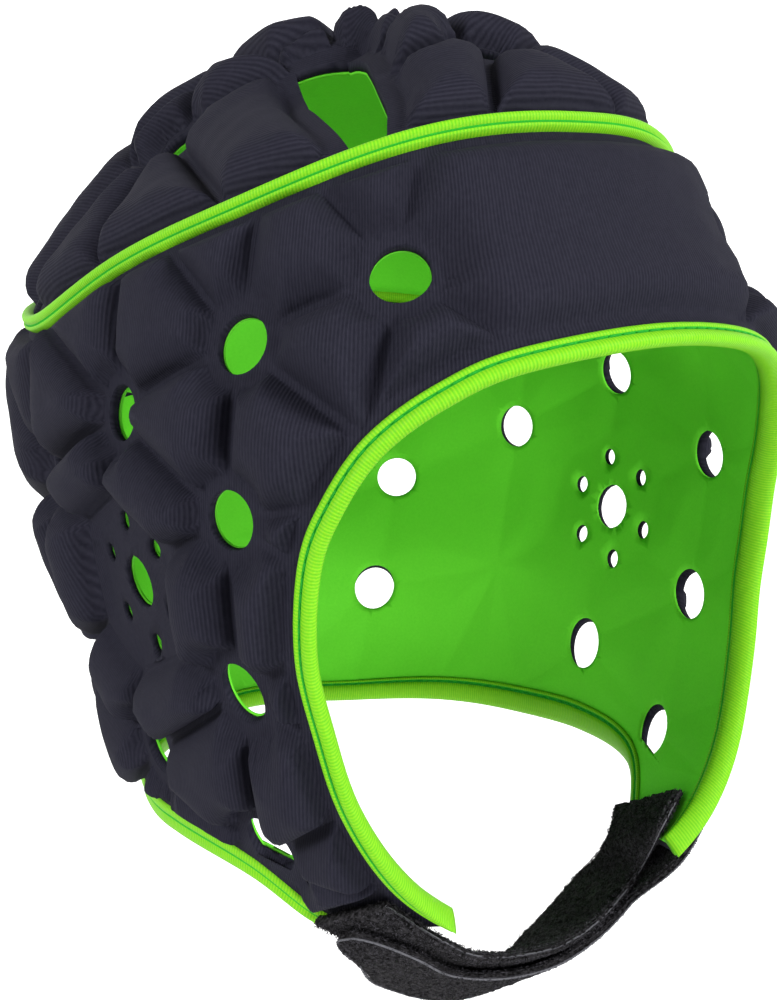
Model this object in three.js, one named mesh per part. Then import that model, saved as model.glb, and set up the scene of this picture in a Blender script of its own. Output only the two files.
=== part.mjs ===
// Padded scrum cap for rugby, in millimetres, +Z up, the brow towards -Y.
// The origin is the inner top of the crown, where the cap sits on a head.
// The cap is a set of shells round one head form. Each shell is tiled by cells: a cell is a
// polygon between named corners, and a corner may be a round vent. A padded cell rises from the
// seams that it shares with its neighbours to a crowned block of foam.

import * as THREE from 'three';

// Driving sizes of the head form, measured from its centre to the inner face
const FRONT_REACH = 104;
const SIDE_REACH = 77;
const BACK_REACH = 107;
const CROWN_RISE = 98;
const FRONT_SQUARENESS = 2.1;

// Driving sizes of the cloth, foam and tape
const LINING = 1.2;
const PANEL_WALL = 3;
const PAD_HEIGHT = 8;
const CROWN_PAD_HEIGHT = 8;
const PIECE_GAP = 0.35;
const VENT_RADIUS = 6.3;
const CROWN_VENT_RADIUS = 5.5;
const EAR_HOLE_RADIUS = 6.3;
const SMALL_HOLE_RADIUS = 2.5;
const SMALL_HOLE_CIRCLE = 14.5;
const SMALL_HOLES = 6;
const SEAM_GROOVE = 1.5;
const EDGE_LAND = 3;
const OPENING_LAND = 5.5;
const PAD_SHOULDER = 4.2;
const EDGE_PAD_SHARE = 0.72;
const SEAM_RIDGE = 5;
const PIPING_WIDTH = 5;
const PIPING_PROUD = 3;
const PIPING_CROWN = 0.5;
const BINDING_WIDTH = 7;
const BINDING_PROUD = 1.5;
const BINDING_INSIDE = 0.7;
const STRAP_THICKNESS = 2.6;
const STRAP_NAP = 1.4;
const STRAP_CLEARANCE = 0.7;
const LOOP_STRAP_WIDTH = 36;
const HOOK_STRAP_WIDTH = 27;
const CHIN_DROP = 18;

// How finely curves are cut into facets
const LONGEST_FACET = 24;
const SEAM_FACET = 12;
const ARC_STEP = 34;
const FAN_REACH = 30;
const SHOULDER_SHARE = 0.8;
const CROWN_SHARE = 1.1;
const CORNER_LIMIT = 0.62;
const PIPING_STEPS = 48;
const STRAP_STEPS = 30;
const FACET_SAG = 1.1;
const TAIL_STEPS = 4;
const HOOK_FIRST = 1;
const HOOK_LAST = 21;
const HOOK_DRIFT = 0.8;

const CENTRE = new THREE.Vector3(0, 0, -CROWN_RISE);
const PANEL_INNER = LINING + PIECE_GAP;
const PANEL_OUTER = PANEL_INNER + PANEL_WALL;

// The head form by the height of the view from its centre: radii as shares of the reaches, and
// how square its back is in plan, as the power of a superellipse
const SECTION_STEP = 20;
const SECTIONS = [
  { up: -70, front: 1.17, side: 1.76, back: 0.94, square: 2 },
  { up: -50, front: 1.21, side: 1.33, back: 1.12, square: 1.9 },
  { up: -30, front: 1.345, side: 1.07, back: 0.96, square: 1.95 },
  { up: -10, front: 1.24, side: 0.995, back: 0.97, square: 2.25 },
  { up: 10, front: 1.095, side: 1, back: 1.04, square: 2.55 },
  { up: 30, front: 0.95, side: 1.045, back: 1.03, square: 2.4 },
  { up: 50, front: 0.95, side: 1.095, back: 0.98, square: 2.3 },
  { up: 70, front: 0.98, side: 1.145, back: 0.945, square: 2.35 },
];

// Height of the crown seam by the turn from the brow round to the nape
const SEAM_STEP = 30;
const SEAM_HEIGHTS = [49, 47.7, 42, 34.2, 20.8, 17.6, 16.2];
const SEAM_RIDGE_SPREAD = 11;

// Corners of the lower panel. turn is in degrees from the brow round to the ear and the nape,
// up is in degrees above the centre of the head form, and both sides of the cap share them.
const VENTS = {
  brow_vent: { turn: 33, up: 31 },
  temple_vent: { turn: 57, up: 23.3 },
  over_ear_vent: { turn: 86, up: 12 },
  cheek_vent: { turn: 57, up: -1 },
  jaw_vent: { turn: 57, up: -26 },
  flap_vent: { turn: 56, up: -47 },
  rear_vent: { turn: 116.5, up: -3.2 },
  under_ear_vent: { turn: 88, up: -43 },
  back_vent: { turn: 144, up: -15 },
  nape_vent: { turn: 149, up: -36 },
};
const JOINS = {
  behind_ear: { turn: 118, up: -33 },
  back_high: { turn: 180, up: 2 },
  back_low: { turn: 180, up: -24 },
};
const SEAM_CORNERS = { s29: 29, s47: 47, s57: 57, s77: 77, s87: 87, s113: 113, s142: 142, s164: 164 };
const FACE_EDGE = {
  f0: { turn: 0, up: 21.8 },
  f1: { turn: 19, up: 20 },
  f2: { turn: 29, up: 16.5 },
  f3: { turn: 37.3, up: 10.7 },
  f4: { turn: 42.7, up: 2.8 },
  f5: { turn: 45.6, up: -5 },
  f6: { turn: 46.4, up: -17 },
  f7: { turn: 44.3, up: -26 },
  f8: { turn: 41, up: -34.6 },
  f9: { turn: 34.3, up: -42.9 },
  f10: { turn: 25.1, up: -49.2 },
};
const NAPE_EDGE = {
  n0: { turn: 41.2, up: -55.5 },
  n1: { turn: 48.6, up: -54 },
  n2: { turn: 61.9, up: -50.9 },
  n3: { turn: 86, up: -51.5 },
  n4: { turn: 108, up: -52 },
  n5: { turn: 132, up: -51.5 },
  n6: { turn: 154, up: -50.5 },
  n7: { turn: 180, up: -48 },
};
const EAR_EDGE = {
  e1: { turn: 71, up: -8 },
  e2: { turn: 87, up: -1.5 },
  e3: { turn: 101.5, up: -9 },
  e4: { turn: 105, up: -27.5 },
  e5: { turn: 88.5, up: -32 },
  e6: { turn: 71, up: -24.5 },
};
// The two stretches of strap on a flap, as turn and up of the strap's front and rear edges
const FLAP_ROWS = [
  { front: [34.8, -44], rear: [48.3, -53.7] },
  { front: [26.2, -49.2], rear: [41.7, -55.3] },
];
const INSIDE_ROWS = [
  { front: [25.5, -48.9], rear: [42.7, -59.5] },
  { front: [32.8, -45.8], rear: [50.8, -57.7] },
];
// The free stretch under the chin: across as a share of half the span between the flaps, back
// as a share of the strap's width, drop as a share of the chin drop, lean and splay in degrees
const CHIN_ROUTE = [
  { across: -0.58, back: 0.17, drop: 0.62, lean: 24, splay: -16 },
  { across: -0.15, back: 0.26, drop: 0.95, lean: 35, splay: -9 },
  { across: 0.29, back: 0.34, drop: 1.12, lean: 35, splay: -3 },
  { across: 0.67, back: 0.4, drop: 1.01, lean: 29, splay: 5 },
  { across: 0.98, back: 0.4, drop: 0.54, lean: 26, splay: 12 },
];
const EAR_HOLE = { turn: 85, up: -17, first: 16 };

// Padded cells of the lower panel: those on the middle line once, the others on both sides
const LOWER_MIDDLE_CELLS = [
  ['s29', 'brow_vent', 'f1', 'f0', '-f1', '-brow_vent', '-s29'],
  ['s164', '-s164', 'back_high'],
];
const LOWER_SIDE_CELLS = [
  ['s29', 's47', 'brow_vent'],
  ['s47', 's57', 'temple_vent', 'brow_vent'],
  ['s57', 's77', 'temple_vent'],
  ['s77', 's87', 'over_ear_vent', 'temple_vent'],
  ['s87', 's113', 'over_ear_vent'],
  ['s113', 'rear_vent', 'over_ear_vent'],
  ['s113', 's142', 'rear_vent'],
  ['s142', 'back_vent', 'rear_vent'],
  ['s142', 's164', 'back_high', 'back_vent'],
  ['back_vent', 'back_high', 'back_low'],
  ['back_vent', 'back_low', 'nape_vent'],
  ['nape_vent', 'back_low', 'n7'],
  ['nape_vent', 'n7', 'n6'],
  ['rear_vent', 'back_vent', 'behind_ear'],
  ['back_vent', 'nape_vent', 'behind_ear'],
  ['behind_ear', 'nape_vent', 'n5'],
  ['nape_vent', 'n6', 'n5'],
  ['behind_ear', 'n5', 'n4'],
  ['under_ear_vent', 'behind_ear', 'n4'],
  ['under_ear_vent', 'n4', 'n3'],
  ['under_ear_vent', 'n3', 'n2', 'flap_vent'],
  ['jaw_vent', 'flap_vent', 'under_ear_vent'],
  ['e6', 'jaw_vent', 'under_ear_vent', 'e5'],
  ['e5', 'under_ear_vent', 'behind_ear', 'e4'],
  ['e4', 'behind_ear', 'rear_vent', 'e3'],
  ['e3', 'rear_vent', 'over_ear_vent', 'e2'],
  ['e2', 'over_ear_vent', 'cheek_vent', 'e1'],
  ['e1', 'cheek_vent', 'jaw_vent', 'e6'],
  ['over_ear_vent', 'temple_vent', 'cheek_vent'],
  ['temple_vent', 'brow_vent', 'f3'],
  ['brow_vent', 'f1', 'f2', 'f3'],
  ['temple_vent', 'f3', 'f4', 'cheek_vent'],
  ['cheek_vent', 'f4', 'f5'],
  ['cheek_vent', 'f5', 'f6', 'jaw_vent'],
  ['jaw_vent', 'f6', 'f7'],
  ['jaw_vent', 'f7', 'f8', 'flap_vent'],
  ['flap_vent', 'f8', 'f9'],
  ['flap_vent', 'f9', 'n1', 'n2'],
];
const FLAP_END = ['f9', 'f10', 'n0', 'n1'];
const EAR_PATCH = ['e1', 'e2', 'e3', 'e4', 'e5', 'e6'];

// Corners and cells of the crown
const CROWN_VENTS = {
  front_vent: { turn: 0, up: 68.8 },
  side_vent: { turn: 120, up: 55.5 },
  rear_crown_vent: { turn: 180, up: 49 },
};
const CROWN_JOINS = {
  mid_front: { turn: 0, up: 83 },
  mid_back: { turn: 180, up: 80.6 },
  mid_rear: { turn: 180, up: 65 },
  top_side: { turn: 140, up: 81 },
  top_rear: { turn: 132, up: 72.5 },
  rear_side: { turn: 149, up: 63 },
  upper_side: { turn: 117, up: 63.8 },
};
const CROWN_SEAM_CORNERS = { k16: 16, k35: 35, k41: 41, k65: 65, k99: 99, k125: 125, k131: 131, k162: 162 };
const FRONT_OPENING = {
  o1: { turn: 35, up: 56.5 },
  o2: { turn: 38, up: 64 },
  o3: { turn: 47, up: 75 },
  o4: { turn: 95, up: 83 },
  o5: { turn: 116, up: 76 },
  o6: { turn: 64, up: 66 },
};
const REAR_OPENING = {
  r1: { turn: 125, up: 46.5 },
  r2: { turn: 131, up: 46 },
};
const CROWN_MIDDLE_CELLS = [
  ['k16', '-k16', 'front_vent'],
  ['k162', '-k162', 'rear_crown_vent'],
];
const CROWN_SIDE_CELLS = [
  ['k16', 'k35', 'o1', 'o2', 'front_vent'],
  ['front_vent', 'o2', 'o3', 'mid_front'],
  ['mid_front', 'o3', 'o4', 'top_side', 'mid_back'],
  ['o4', 'o5', 'top_rear', 'top_side'],
  ['mid_back', 'top_side', 'top_rear', 'rear_side', 'mid_rear'],
  ['o5', 'upper_side', 'side_vent', 'rear_side', 'top_rear'],
  ['k41', 'k65', 'side_vent', 'upper_side', 'o5', 'o6'],
  ['k65', 'k99', 'side_vent'],
  ['k99', 'k125', 'r1', 'side_vent'],
  ['side_vent', 'r1', 'r2', 'rear_side'],
  ['k131', 'k162', 'rear_crown_vent', 'r2'],
  ['r2', 'rear_crown_vent', 'mid_rear', 'rear_side'],
];

const radians = THREE.MathUtils.degToRad;

function hermite(values, step, start, x) {
  const place = THREE.MathUtils.clamp((x - start) / step, 0, values.length - 1);
  const k = Math.min(Math.floor(place), values.length - 2);
  const t = place - k;
  const before = k > 0 ? values[k - 1] : 2 * values[0] - values[1];
  const after = k + 2 < values.length ? values[k + 2] : values[k];
  const slope0 = (values[k + 1] - before) / 2;
  const slope1 = (after - values[k]) / 2;
  const bend = 2 * (values[k] - values[k + 1]) + slope0 + slope1;
  const lift = 3 * (values[k + 1] - values[k]) - 2 * slope0 - slope1;
  return values[k] + t * (slope0 + t * (lift + t * bend));
}

const FRONT_RADII = [...SECTIONS.map((row) => row.front * FRONT_REACH), CROWN_RISE];
const SIDE_RADII = [...SECTIONS.map((row) => row.side * SIDE_REACH), CROWN_RISE];
const BACK_RADII = [...SECTIONS.map((row) => row.back * BACK_REACH), CROWN_RISE];
const BACK_POWERS = SECTIONS.map((row) => row.square);

function direction(turn, up) {
  const flat = Math.cos(radians(up));
  return new THREE.Vector3(
    -Math.sin(radians(turn)) * flat,
    -Math.cos(radians(turn)) * flat,
    Math.sin(radians(up)),
  );
}

function anglesOf(way) {
  return {
    turn: THREE.MathUtils.radToDeg(Math.atan2(-way.x, -way.y)),
    up: THREE.MathUtils.radToDeg(Math.asin(THREE.MathUtils.clamp(way.z, -1, 1))),
  };
}

// Distance from the centre to the inner face of the cap, the way that a unit vector points
function reach(way) {
  const { turn, up } = anglesOf(way);
  const first = SECTIONS[0].up;
  const side = hermite(SIDE_RADII, SECTION_STEP, first, up);
  const ahead = Math.cos(radians(turn));
  const length = hermite(ahead > 0 ? FRONT_RADII : BACK_RADII, SECTION_STEP, first, up);
  const power = ahead > 0 ? FRONT_SQUARENESS : hermite(BACK_POWERS, SECTION_STEP, first, up);
  const lengthPart = Math.abs(ahead / length) ** power;
  const sidePart = Math.abs(Math.sin(radians(turn)) / side) ** power;
  const fromSeam = (up - seamHeight(turn)) / SEAM_RIDGE_SPREAD;
  return (lengthPart + sidePart) ** (-1 / power) + SEAM_RIDGE * Math.exp(-(fromSeam ** 2));
}

function pointAt(way, offset) {
  return CENTRE.clone().addScaledVector(way, reach(way) + offset);
}

function seamHeight(turn) {
  const folded = Math.abs(turn) > 180 ? 360 - Math.abs(turn) : Math.abs(turn);
  const mirrored = [SEAM_HEIGHTS[1], ...SEAM_HEIGHTS];
  return hermite(mirrored, SEAM_STEP, -SEAM_STEP, folded);
}

function seamWay(turn, rise) {
  const middle = direction(turn, seamHeight(turn));
  const shift = THREE.MathUtils.radToDeg(rise / reach(middle));
  return direction(turn, seamHeight(turn) + shift);
}

// A flat chart of the head form round one direction: millimetres along the surface
function chartAt(middle) {
  const pole = Math.abs(middle.z) > 0.9 ? new THREE.Vector3(0, 1, 0) : new THREE.Vector3(0, 0, 1);
  const east = new THREE.Vector3().crossVectors(pole, middle).normalize();
  const north = new THREE.Vector3().crossVectors(middle, east);
  const scale = reach(middle);
  return {
    toFlat(way) {
      const x = way.dot(east);
      const y = way.dot(north);
      const spread = Math.hypot(x, y);
      const angle = Math.atan2(spread, way.dot(middle));
      const factor = spread > 1e-9 ? (angle * scale) / spread : scale;
      return new THREE.Vector2(x * factor, y * factor);
    },
    toWay(flat) {
      const distance = flat.length();
      if (distance < 1e-9) return middle.clone();
      const angle = distance / scale;
      return middle
        .clone()
        .multiplyScalar(Math.cos(angle))
        .addScaledVector(east, (Math.sin(angle) * flat.x) / distance)
        .addScaledVector(north, (Math.sin(angle) * flat.y) / distance);
    },
  };
}

function between(a, b, t) {
  const angle = a.angleTo(b);
  return a
    .clone()
    .multiplyScalar(Math.sin((1 - t) * angle) / Math.sin(angle))
    .addScaledVector(b, Math.sin(t * angle) / Math.sin(angle));
}

const mirrored = (way) => new THREE.Vector3(-way.x, way.y, way.z);

// Every corner by name, with the edge that it lies on and the radius of its vent
class Corners {
  constructor() {
    this.rows = new Map();
    this.edges = new Map();
  }

  add(table, edge, vent) {
    for (const [name, row] of Object.entries(table)) {
      this.rows.set(name, { way: direction(row.turn, row.up), edge, vent, row });
    }
    return this;
  }

  addSeam(table, rise) {
    for (const [name, turn] of Object.entries(table)) {
      this.rows.set(name, { way: seamWay(turn, rise), edge: 'seam', vent: 0, row: { turn }, rise });
    }
    return this;
  }

  // A smooth edge line through the corners of a table, on both sides of the cap
  addLine(edge, table) {
    const names = Object.keys(table);
    const onMiddle = (name) => table[name].turn % 180 === 0;
    const other = names.filter((name) => !onMiddle(name)).map((name) => `-${name}`);
    const order = onMiddle(names[0]) ? [...other.reverse(), ...names] : [...names, ...other.reverse()];
    const points = order.map((name) => {
      const row = table[name.replace('-', '')];
      const turn = name.startsWith('-') ? -row.turn : row.turn;
      const unrolled = !onMiddle(names[0]) && turn < 0 ? turn + 360 : turn;
      return new THREE.Vector3(unrolled, row.up, 0);
    });
    this.edges.set(edge, { order, curve: new THREE.CatmullRomCurve3(points) });
    return this.add(table, edge, 0);
  }

  get(name) {
    const row = this.rows.get(name.replace('-', ''));
    if (!name.startsWith('-')) return row;
    return { ...row, way: mirrored(row.way), row: { ...row.row, turn: -row.row.turn } };
  }

  mirror(name) {
    if (name.startsWith('-')) return name.slice(1);
    const { turn } = this.rows.get(name).row;
    return turn % 180 === 0 ? name : `-${name}`;
  }

  // Where the seam from one corner to another starts: on the rim of a vent, or at the corner
  start(from, to) {
    const a = this.get(from);
    if (!a.vent) return a.way;
    const chart = chartAt(a.way);
    return chart.toWay(chart.toFlat(this.get(to).way).setLength(a.vent));
  }

  // Points from one corner to the next, the same for both cells that share them
  side(from, to) {
    const flipped = from > to;
    const [first, last] = flipped ? [to, from] : [from, to];
    const a = this.get(first);
    const b = this.get(last);
    const start = this.start(first, last);
    const end = this.start(last, first);
    const line = this.edges.get(a.edge);
    const onLine = a.edge && a.edge === b.edge;
    const longest = onLine && a.edge === 'seam' ? SEAM_FACET : LONGEST_FACET;
    const steps = Math.max(1, Math.ceil((start.angleTo(end) * reach(start)) / longest));
    const points = [];
    for (let k = 0; k <= steps; k += 1) {
      const t = k / steps;
      if (onLine && a.edge === 'seam') {
        const gap = THREE.MathUtils.euclideanModulo(b.row.turn - a.row.turn + 180, 360) - 180;
        points.push(seamWay(THREE.MathUtils.euclideanModulo(a.row.turn + gap * t + 180, 360) - 180, a.rise));
      } else if (onLine && line) {
        const from0 = line.order.indexOf(first);
        const to0 = line.order.indexOf(last);
        const at = line.curve.getPoint((from0 + (to0 - from0) * t) / (line.order.length - 1));
        points.push(direction(at.x, at.y));
      } else {
        points.push(k === 0 ? start : k === steps ? end : between(start, end, t));
      }
    }
    return flipped ? points.reverse() : points;
  }

  // The arc of a vent's rim inside a cell, from the seam before it to the seam after it
  arc(before, name, after) {
    const { way, vent } = this.get(name);
    const chart = chartAt(way);
    const first = chart.toFlat(this.get(before).way).angle();
    const last = chart.toFlat(this.get(after).way).angle();
    const sweep = THREE.MathUtils.euclideanModulo(last - first + Math.PI, 2 * Math.PI) - Math.PI;
    const steps = Math.max(1, Math.round(Math.abs(sweep) / radians(ARC_STEP)));
    const points = [];
    for (let k = 1; k < steps; k += 1) {
      const angle = first + (sweep * k) / steps;
      points.push(chart.toWay(new THREE.Vector2(Math.cos(angle), Math.sin(angle)).multiplyScalar(vent)));
    }
    return points;
  }

  land(from, to) {
    const a = this.get(from);
    const b = this.get(to);
    const rims = ['seam', 'opening'];
    const besideOpening = a.edge === 'opening' || b.edge === 'opening';
    if (besideOpening && rims.includes(a.edge) && rims.includes(b.edge)) return OPENING_LAND;
    return a.edge && a.edge === b.edge ? EDGE_LAND : SEAM_GROOVE;
  }

  // The closed outline of a cell, with the flat land that each stretch asks for beside it
  outline(names) {
    const points = [];
    const lands = [];
    names.forEach((name, k) => {
      const before = names[(k + names.length - 1) % names.length];
      const after = names[(k + 1) % names.length];
      if (this.get(name).vent) {
        const rim = [this.start(name, before), ...this.arc(before, name, after)];
        points.push(...rim);
        lands.push(...rim.map(() => SEAM_GROOVE));
      }
      const side = this.side(name, after);
      side.pop();
      points.push(...side);
      lands.push(...side.map(() => this.land(name, after)));
    });
    return { points, lands };
  }
}

// Collects triangles, with one vertex for each place
class Skin {
  constructor() {
    this.places = [];
    this.keys = new Map();
    this.triangles = [];
  }

  vertex(point) {
    const key = [point.x, point.y, point.z].map((v) => Math.round(v * 2000) + 0).join(' ');
    if (!this.keys.has(key)) {
      this.keys.set(key, this.places.length);
      this.places.push(point.clone());
    }
    return this.keys.get(key);
  }

  triangle(a, b, c) {
    if (a !== b && b !== c && c !== a) this.triangles.push([a, b, c]);
  }

  quad(a, b, c, d) {
    this.triangle(a, b, c);
    this.triangle(a, c, d);
  }

  geometry() {
    const geometry = new THREE.BufferGeometry();
    const flat = this.places.flatMap((point) => point.toArray());
    geometry.setAttribute('position', new THREE.Float32BufferAttribute(flat, 3));
    geometry.setIndex(this.triangles.flat());
    geometry.computeVertexNormals();
    return geometry;
  }
}

function flatDistance(point, a, b) {
  const along = b.clone().sub(a);
  const share = THREE.MathUtils.clamp(point.clone().sub(a).dot(along) / along.lengthSq(), 0, 1);
  return point.distanceTo(a.clone().addScaledVector(along, share));
}

// How far along the way to the middle a point is clear of every side by its land and more
function clearShare(flats, lands, k, more) {
  let low = 0;
  let high = CORNER_LIMIT;
  const clear = (share) => {
    const point = flats[k].clone().multiplyScalar(1 - share);
    return flats.every((a, j) => flatDistance(point, a, flats[(j + 1) % flats.length]) >= lands[j] + more);
  };
  if (!clear(high)) return high;
  for (let step = 0; step < 20; step += 1) {
    const middle = (low + high) / 2;
    if (clear(middle)) high = middle;
    else low = middle;
  }
  return high;
}

// One cell as rings of directions from its outline to its middle, turning left seen from outside
function cellRings(corners, names, padded) {
  const outline = corners.outline(names);
  const middle = new THREE.Vector3();
  const count = outline.points.length;
  outline.points.forEach((way, k) => {
    const length = way.distanceTo(outline.points[(k + 1) % count]);
    const before = way.distanceTo(outline.points[(k + count - 1) % count]);
    middle.addScaledVector(way, length + before);
  });
  const chart = chartAt(middle.normalize());
  let flats = outline.points.map((way) => chart.toFlat(way));
  let { lands } = outline;
  if (THREE.ShapeUtils.area(flats) < 0) {
    flats = flats.reverse();
    lands = lands.reverse();
    lands.push(lands.shift());
  }
  const farthest = Math.max(...flats.map((flat) => flat.length()));
  const inner = Math.ceil(farthest / FAN_REACH);
  const shoulder = flats.map((_, k) => clearShare(flats, lands, k, padded ? PAD_SHOULDER : 0));
  const rings = [{ share: flats.map(() => 0), height: 0 }];
  if (padded) rings.push({ share: shoulder, height: SHOULDER_SHARE });
  for (let k = 1; k < inner; k += 1) {
    const from = padded ? shoulder : flats.map(() => 0);
    const height = padded ? SHOULDER_SHARE + ((CROWN_SHARE - SHOULDER_SHARE) * k) / inner : 0;
    rings.push({ share: from.map((s) => s + ((1 - s) * k) / inner), height });
  }
  return {
    middle,
    rings: rings.map(({ share, height }) => ({
      ways: flats.map((flat, k) => chart.toWay(flat.clone().multiplyScalar(1 - share[k]))),
      height,
    })),
  };
}

function addCell(skin, corners, names, offset, fullPad, outward) {
  const { middle, rings } = cellRings(corners, names, fullPad > 0);
  const besideEdge = ['nape', 'seam'].some(
    (edge) => names.filter((name) => corners.get(name).edge === edge).length > 1,
  );
  const pad = besideEdge ? fullPad * EDGE_PAD_SHARE : fullPad;
  const loops = rings.map(({ ways, height }) =>
    ways.map((way) => skin.vertex(pointAt(way, offset + pad * height))),
  );
  const top = skin.vertex(pointAt(middle, offset + pad * CROWN_SHARE));
  const turned = outward ? (a, b, c) => skin.triangle(a, b, c) : (a, b, c) => skin.triangle(a, c, b);
  loops.forEach((loop, level) => {
    loop.forEach((a, k) => {
      const b = loop[(k + 1) % loop.length];
      if (level + 1 === loops.length) {
        turned(a, b, top);
        return;
      }
      const upper = loops[level + 1];
      turned(a, b, upper[(k + 1) % loop.length]);
      turned(a, upper[(k + 1) % loop.length], upper[k]);
    });
  });
}

// The flat patch over the ear, with its round hole and the ring of small ones
function addEarPatch(skin, corners, names, offset, outward, side) {
  const middle = direction(EAR_HOLE.turn * side, EAR_HOLE.up);
  const chart = chartAt(middle);
  const circle = (x, y, radius, sides) =>
    Array.from({ length: sides }, (_, k) => {
      const angle = (2 * Math.PI * k) / sides;
      return new THREE.Vector2(x + radius * Math.cos(angle), y + radius * Math.sin(angle));
    });
  const holes = [circle(0, 0, EAR_HOLE_RADIUS, 10)];
  for (let k = 0; k < SMALL_HOLES; k += 1) {
    const angle = radians(EAR_HOLE.first + (360 / SMALL_HOLES) * k);
    const x = -side * SMALL_HOLE_CIRCLE * Math.cos(angle);
    holes.push(circle(x, SMALL_HOLE_CIRCLE * Math.sin(angle), SMALL_HOLE_RADIUS, 6));
  }
  let outline = corners.outline(names).points.map((way) => chart.toFlat(way));
  if (THREE.ShapeUtils.area(outline) < 0) outline = outline.reverse();
  const all = [outline, ...holes].flat();
  const numbers = all.map((flat) => skin.vertex(pointAt(chart.toWay(flat), offset)));
  THREE.ShapeUtils.triangulateShape(outline, holes).forEach(([a, b, c]) => {
    if (outward) skin.triangle(numbers[a], numbers[b], numbers[c]);
    else skin.triangle(numbers[a], numbers[c], numbers[b]);
  });
}

// A shell between two offsets from the head form, closed along its edges and round its holes
function shell({ corners, middleCells, sideCells, flatCells, earPatch }, inside, outside, pad) {
  const skin = new Skin();
  const other = (names) => names.map((name) => corners.mirror(name));
  const faces = [
    { offset: outside, height: pad, outward: true },
    { offset: inside, height: 0, outward: false },
  ];
  const edges = new Map();
  faces.forEach(({ offset, height, outward }) => {
    const first = skin.triangles.length;
    middleCells.forEach((names) => addCell(skin, corners, names, offset, height, outward));
    sideCells.forEach((names) => {
      addCell(skin, corners, names, offset, height, outward);
      addCell(skin, corners, other(names), offset, height, outward);
    });
    flatCells.forEach((names) => {
      addCell(skin, corners, names, offset, 0, outward);
      addCell(skin, corners, other(names), offset, 0, outward);
    });
    if (earPatch) {
      addEarPatch(skin, corners, earPatch, offset, outward, 1);
      addEarPatch(skin, corners, other(earPatch), offset, outward, -1);
    }
    skin.triangles.slice(first).forEach(([a, b, c]) => {
      [[a, b], [b, c], [c, a]].forEach(([from, to]) => edges.set(`${from} ${to}`, { from, to, outward }));
    });
  });
  // Each open edge of the outer face is closed to the same place on the inner face
  const inward = (number) => {
    const way = skin.places[number].clone().sub(CENTRE).normalize();
    return skin.vertex(pointAt(way, inside));
  };
  [...edges.values()]
    .filter(({ from, to, outward }) => outward && !edges.has(`${to} ${from}`))
    .forEach(({ from, to }) => skin.quad(to, from, inward(from), inward(to)));
  return skin.geometry();
}

// A strip with the same section at each station, closed at its ends unless it is a ring
function sweep(stations, ring) {
  const skin = new Skin();
  const loops = stations.map((points) => points.map((point) => skin.vertex(point)));
  const size = loops[0].length;
  const last = ring ? loops.length : loops.length - 1;
  for (let k = 0; k < last; k += 1) {
    const here = loops[k];
    const next = loops[(k + 1) % loops.length];
    for (let j = 0; j < size; j += 1) {
      skin.quad(here[j], here[(j + 1) % size], next[(j + 1) % size], next[j]);
    }
  }
  if (!ring) {
    for (let j = 1; j + 1 < size; j += 1) {
      skin.triangle(loops[0][0], loops[0][j + 1], loops[0][j]);
      skin.triangle(loops.at(-1)[0], loops.at(-1)[j], loops.at(-1)[j + 1]);
    }
  }
  return skin.geometry();
}

// Stations of a tape that closes an edge line of the lower panel, from one flap to the other
function tapeStations(corners, edge, section) {
  const { order } = corners.edges.get(edge);
  const line = [];
  order.slice(1).forEach((name, k) => {
    const side = corners.side(order[k], name);
    line.push(...(k === 0 ? side : side.slice(1)));
  });
  return line.map((way, k) => {
    const along = line[Math.min(k + 1, line.length - 1)].clone().sub(line[Math.max(k - 1, 0)]);
    const away = new THREE.Vector3().crossVectors(way, along).normalize();
    return section.map(([out, offset]) => {
      const angle = out / reach(way);
      const shifted = way.clone().multiplyScalar(Math.cos(angle)).addScaledVector(away, Math.sin(angle));
      return pointAt(shifted, offset);
    });
  });
}

// The closed section of the edge tape, as shares of its width beyond the panel's edge and of
// its height from its inner face to its outer one
const BINDING_SECTION = [
  { out: 0, height: 0.07 },
  { out: 0.4, height: 0 },
  { out: 0.85, height: 0.12 },
  { out: 1, height: 0.4 },
  { out: 0.85, height: 0.8 },
  { out: 0.4, height: 1 },
  { out: 0, height: 0.87 },
];

function bindingSection() {
  const height = PANEL_OUTER + BINDING_PROUD + BINDING_INSIDE;
  return BINDING_SECTION.map((row) => [
    PIECE_GAP + row.out * (BINDING_WIDTH - PIECE_GAP),
    row.height * height - BINDING_INSIDE,
  ]);
}

function pipingStations() {
  const half = PIPING_WIDTH / 2;
  const section = [
    [half, 0],
    [-half, 0],
    [-half, PANEL_OUTER],
    [-half * PIPING_CROWN, PANEL_OUTER + PIPING_PROUD],
    [half * PIPING_CROWN, PANEL_OUTER + PIPING_PROUD],
    [half, PANEL_OUTER],
  ];
  return Array.from({ length: PIPING_STEPS }, (_, k) => {
    const turn = (360 * k) / PIPING_STEPS - 180;
    return section.map(([rise, offset]) => pointAt(seamWay(turn, rise), offset));
  });
}

// The loop strap is sewn on the outside of one flap and ends inside the other. The hook strap is
// sewn on the outside of the other flap and ends over the loop strap.
const OVER_PANEL = PANEL_OUTER + STRAP_CLEARANCE + STRAP_THICKNESS / 2;
const UNDER_LINING = -FACET_SAG - STRAP_THICKNESS / 2;
const STRAP_PITCH = STRAP_THICKNESS + STRAP_NAP;

function flapPoints(rows, offset, side) {
  return rows.map(({ front, rear }) => ({
    front: pointAt(direction(front[0] * side, front[1]), offset),
    rear: pointAt(direction(rear[0] * side, rear[1]), offset),
  }));
}

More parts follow.
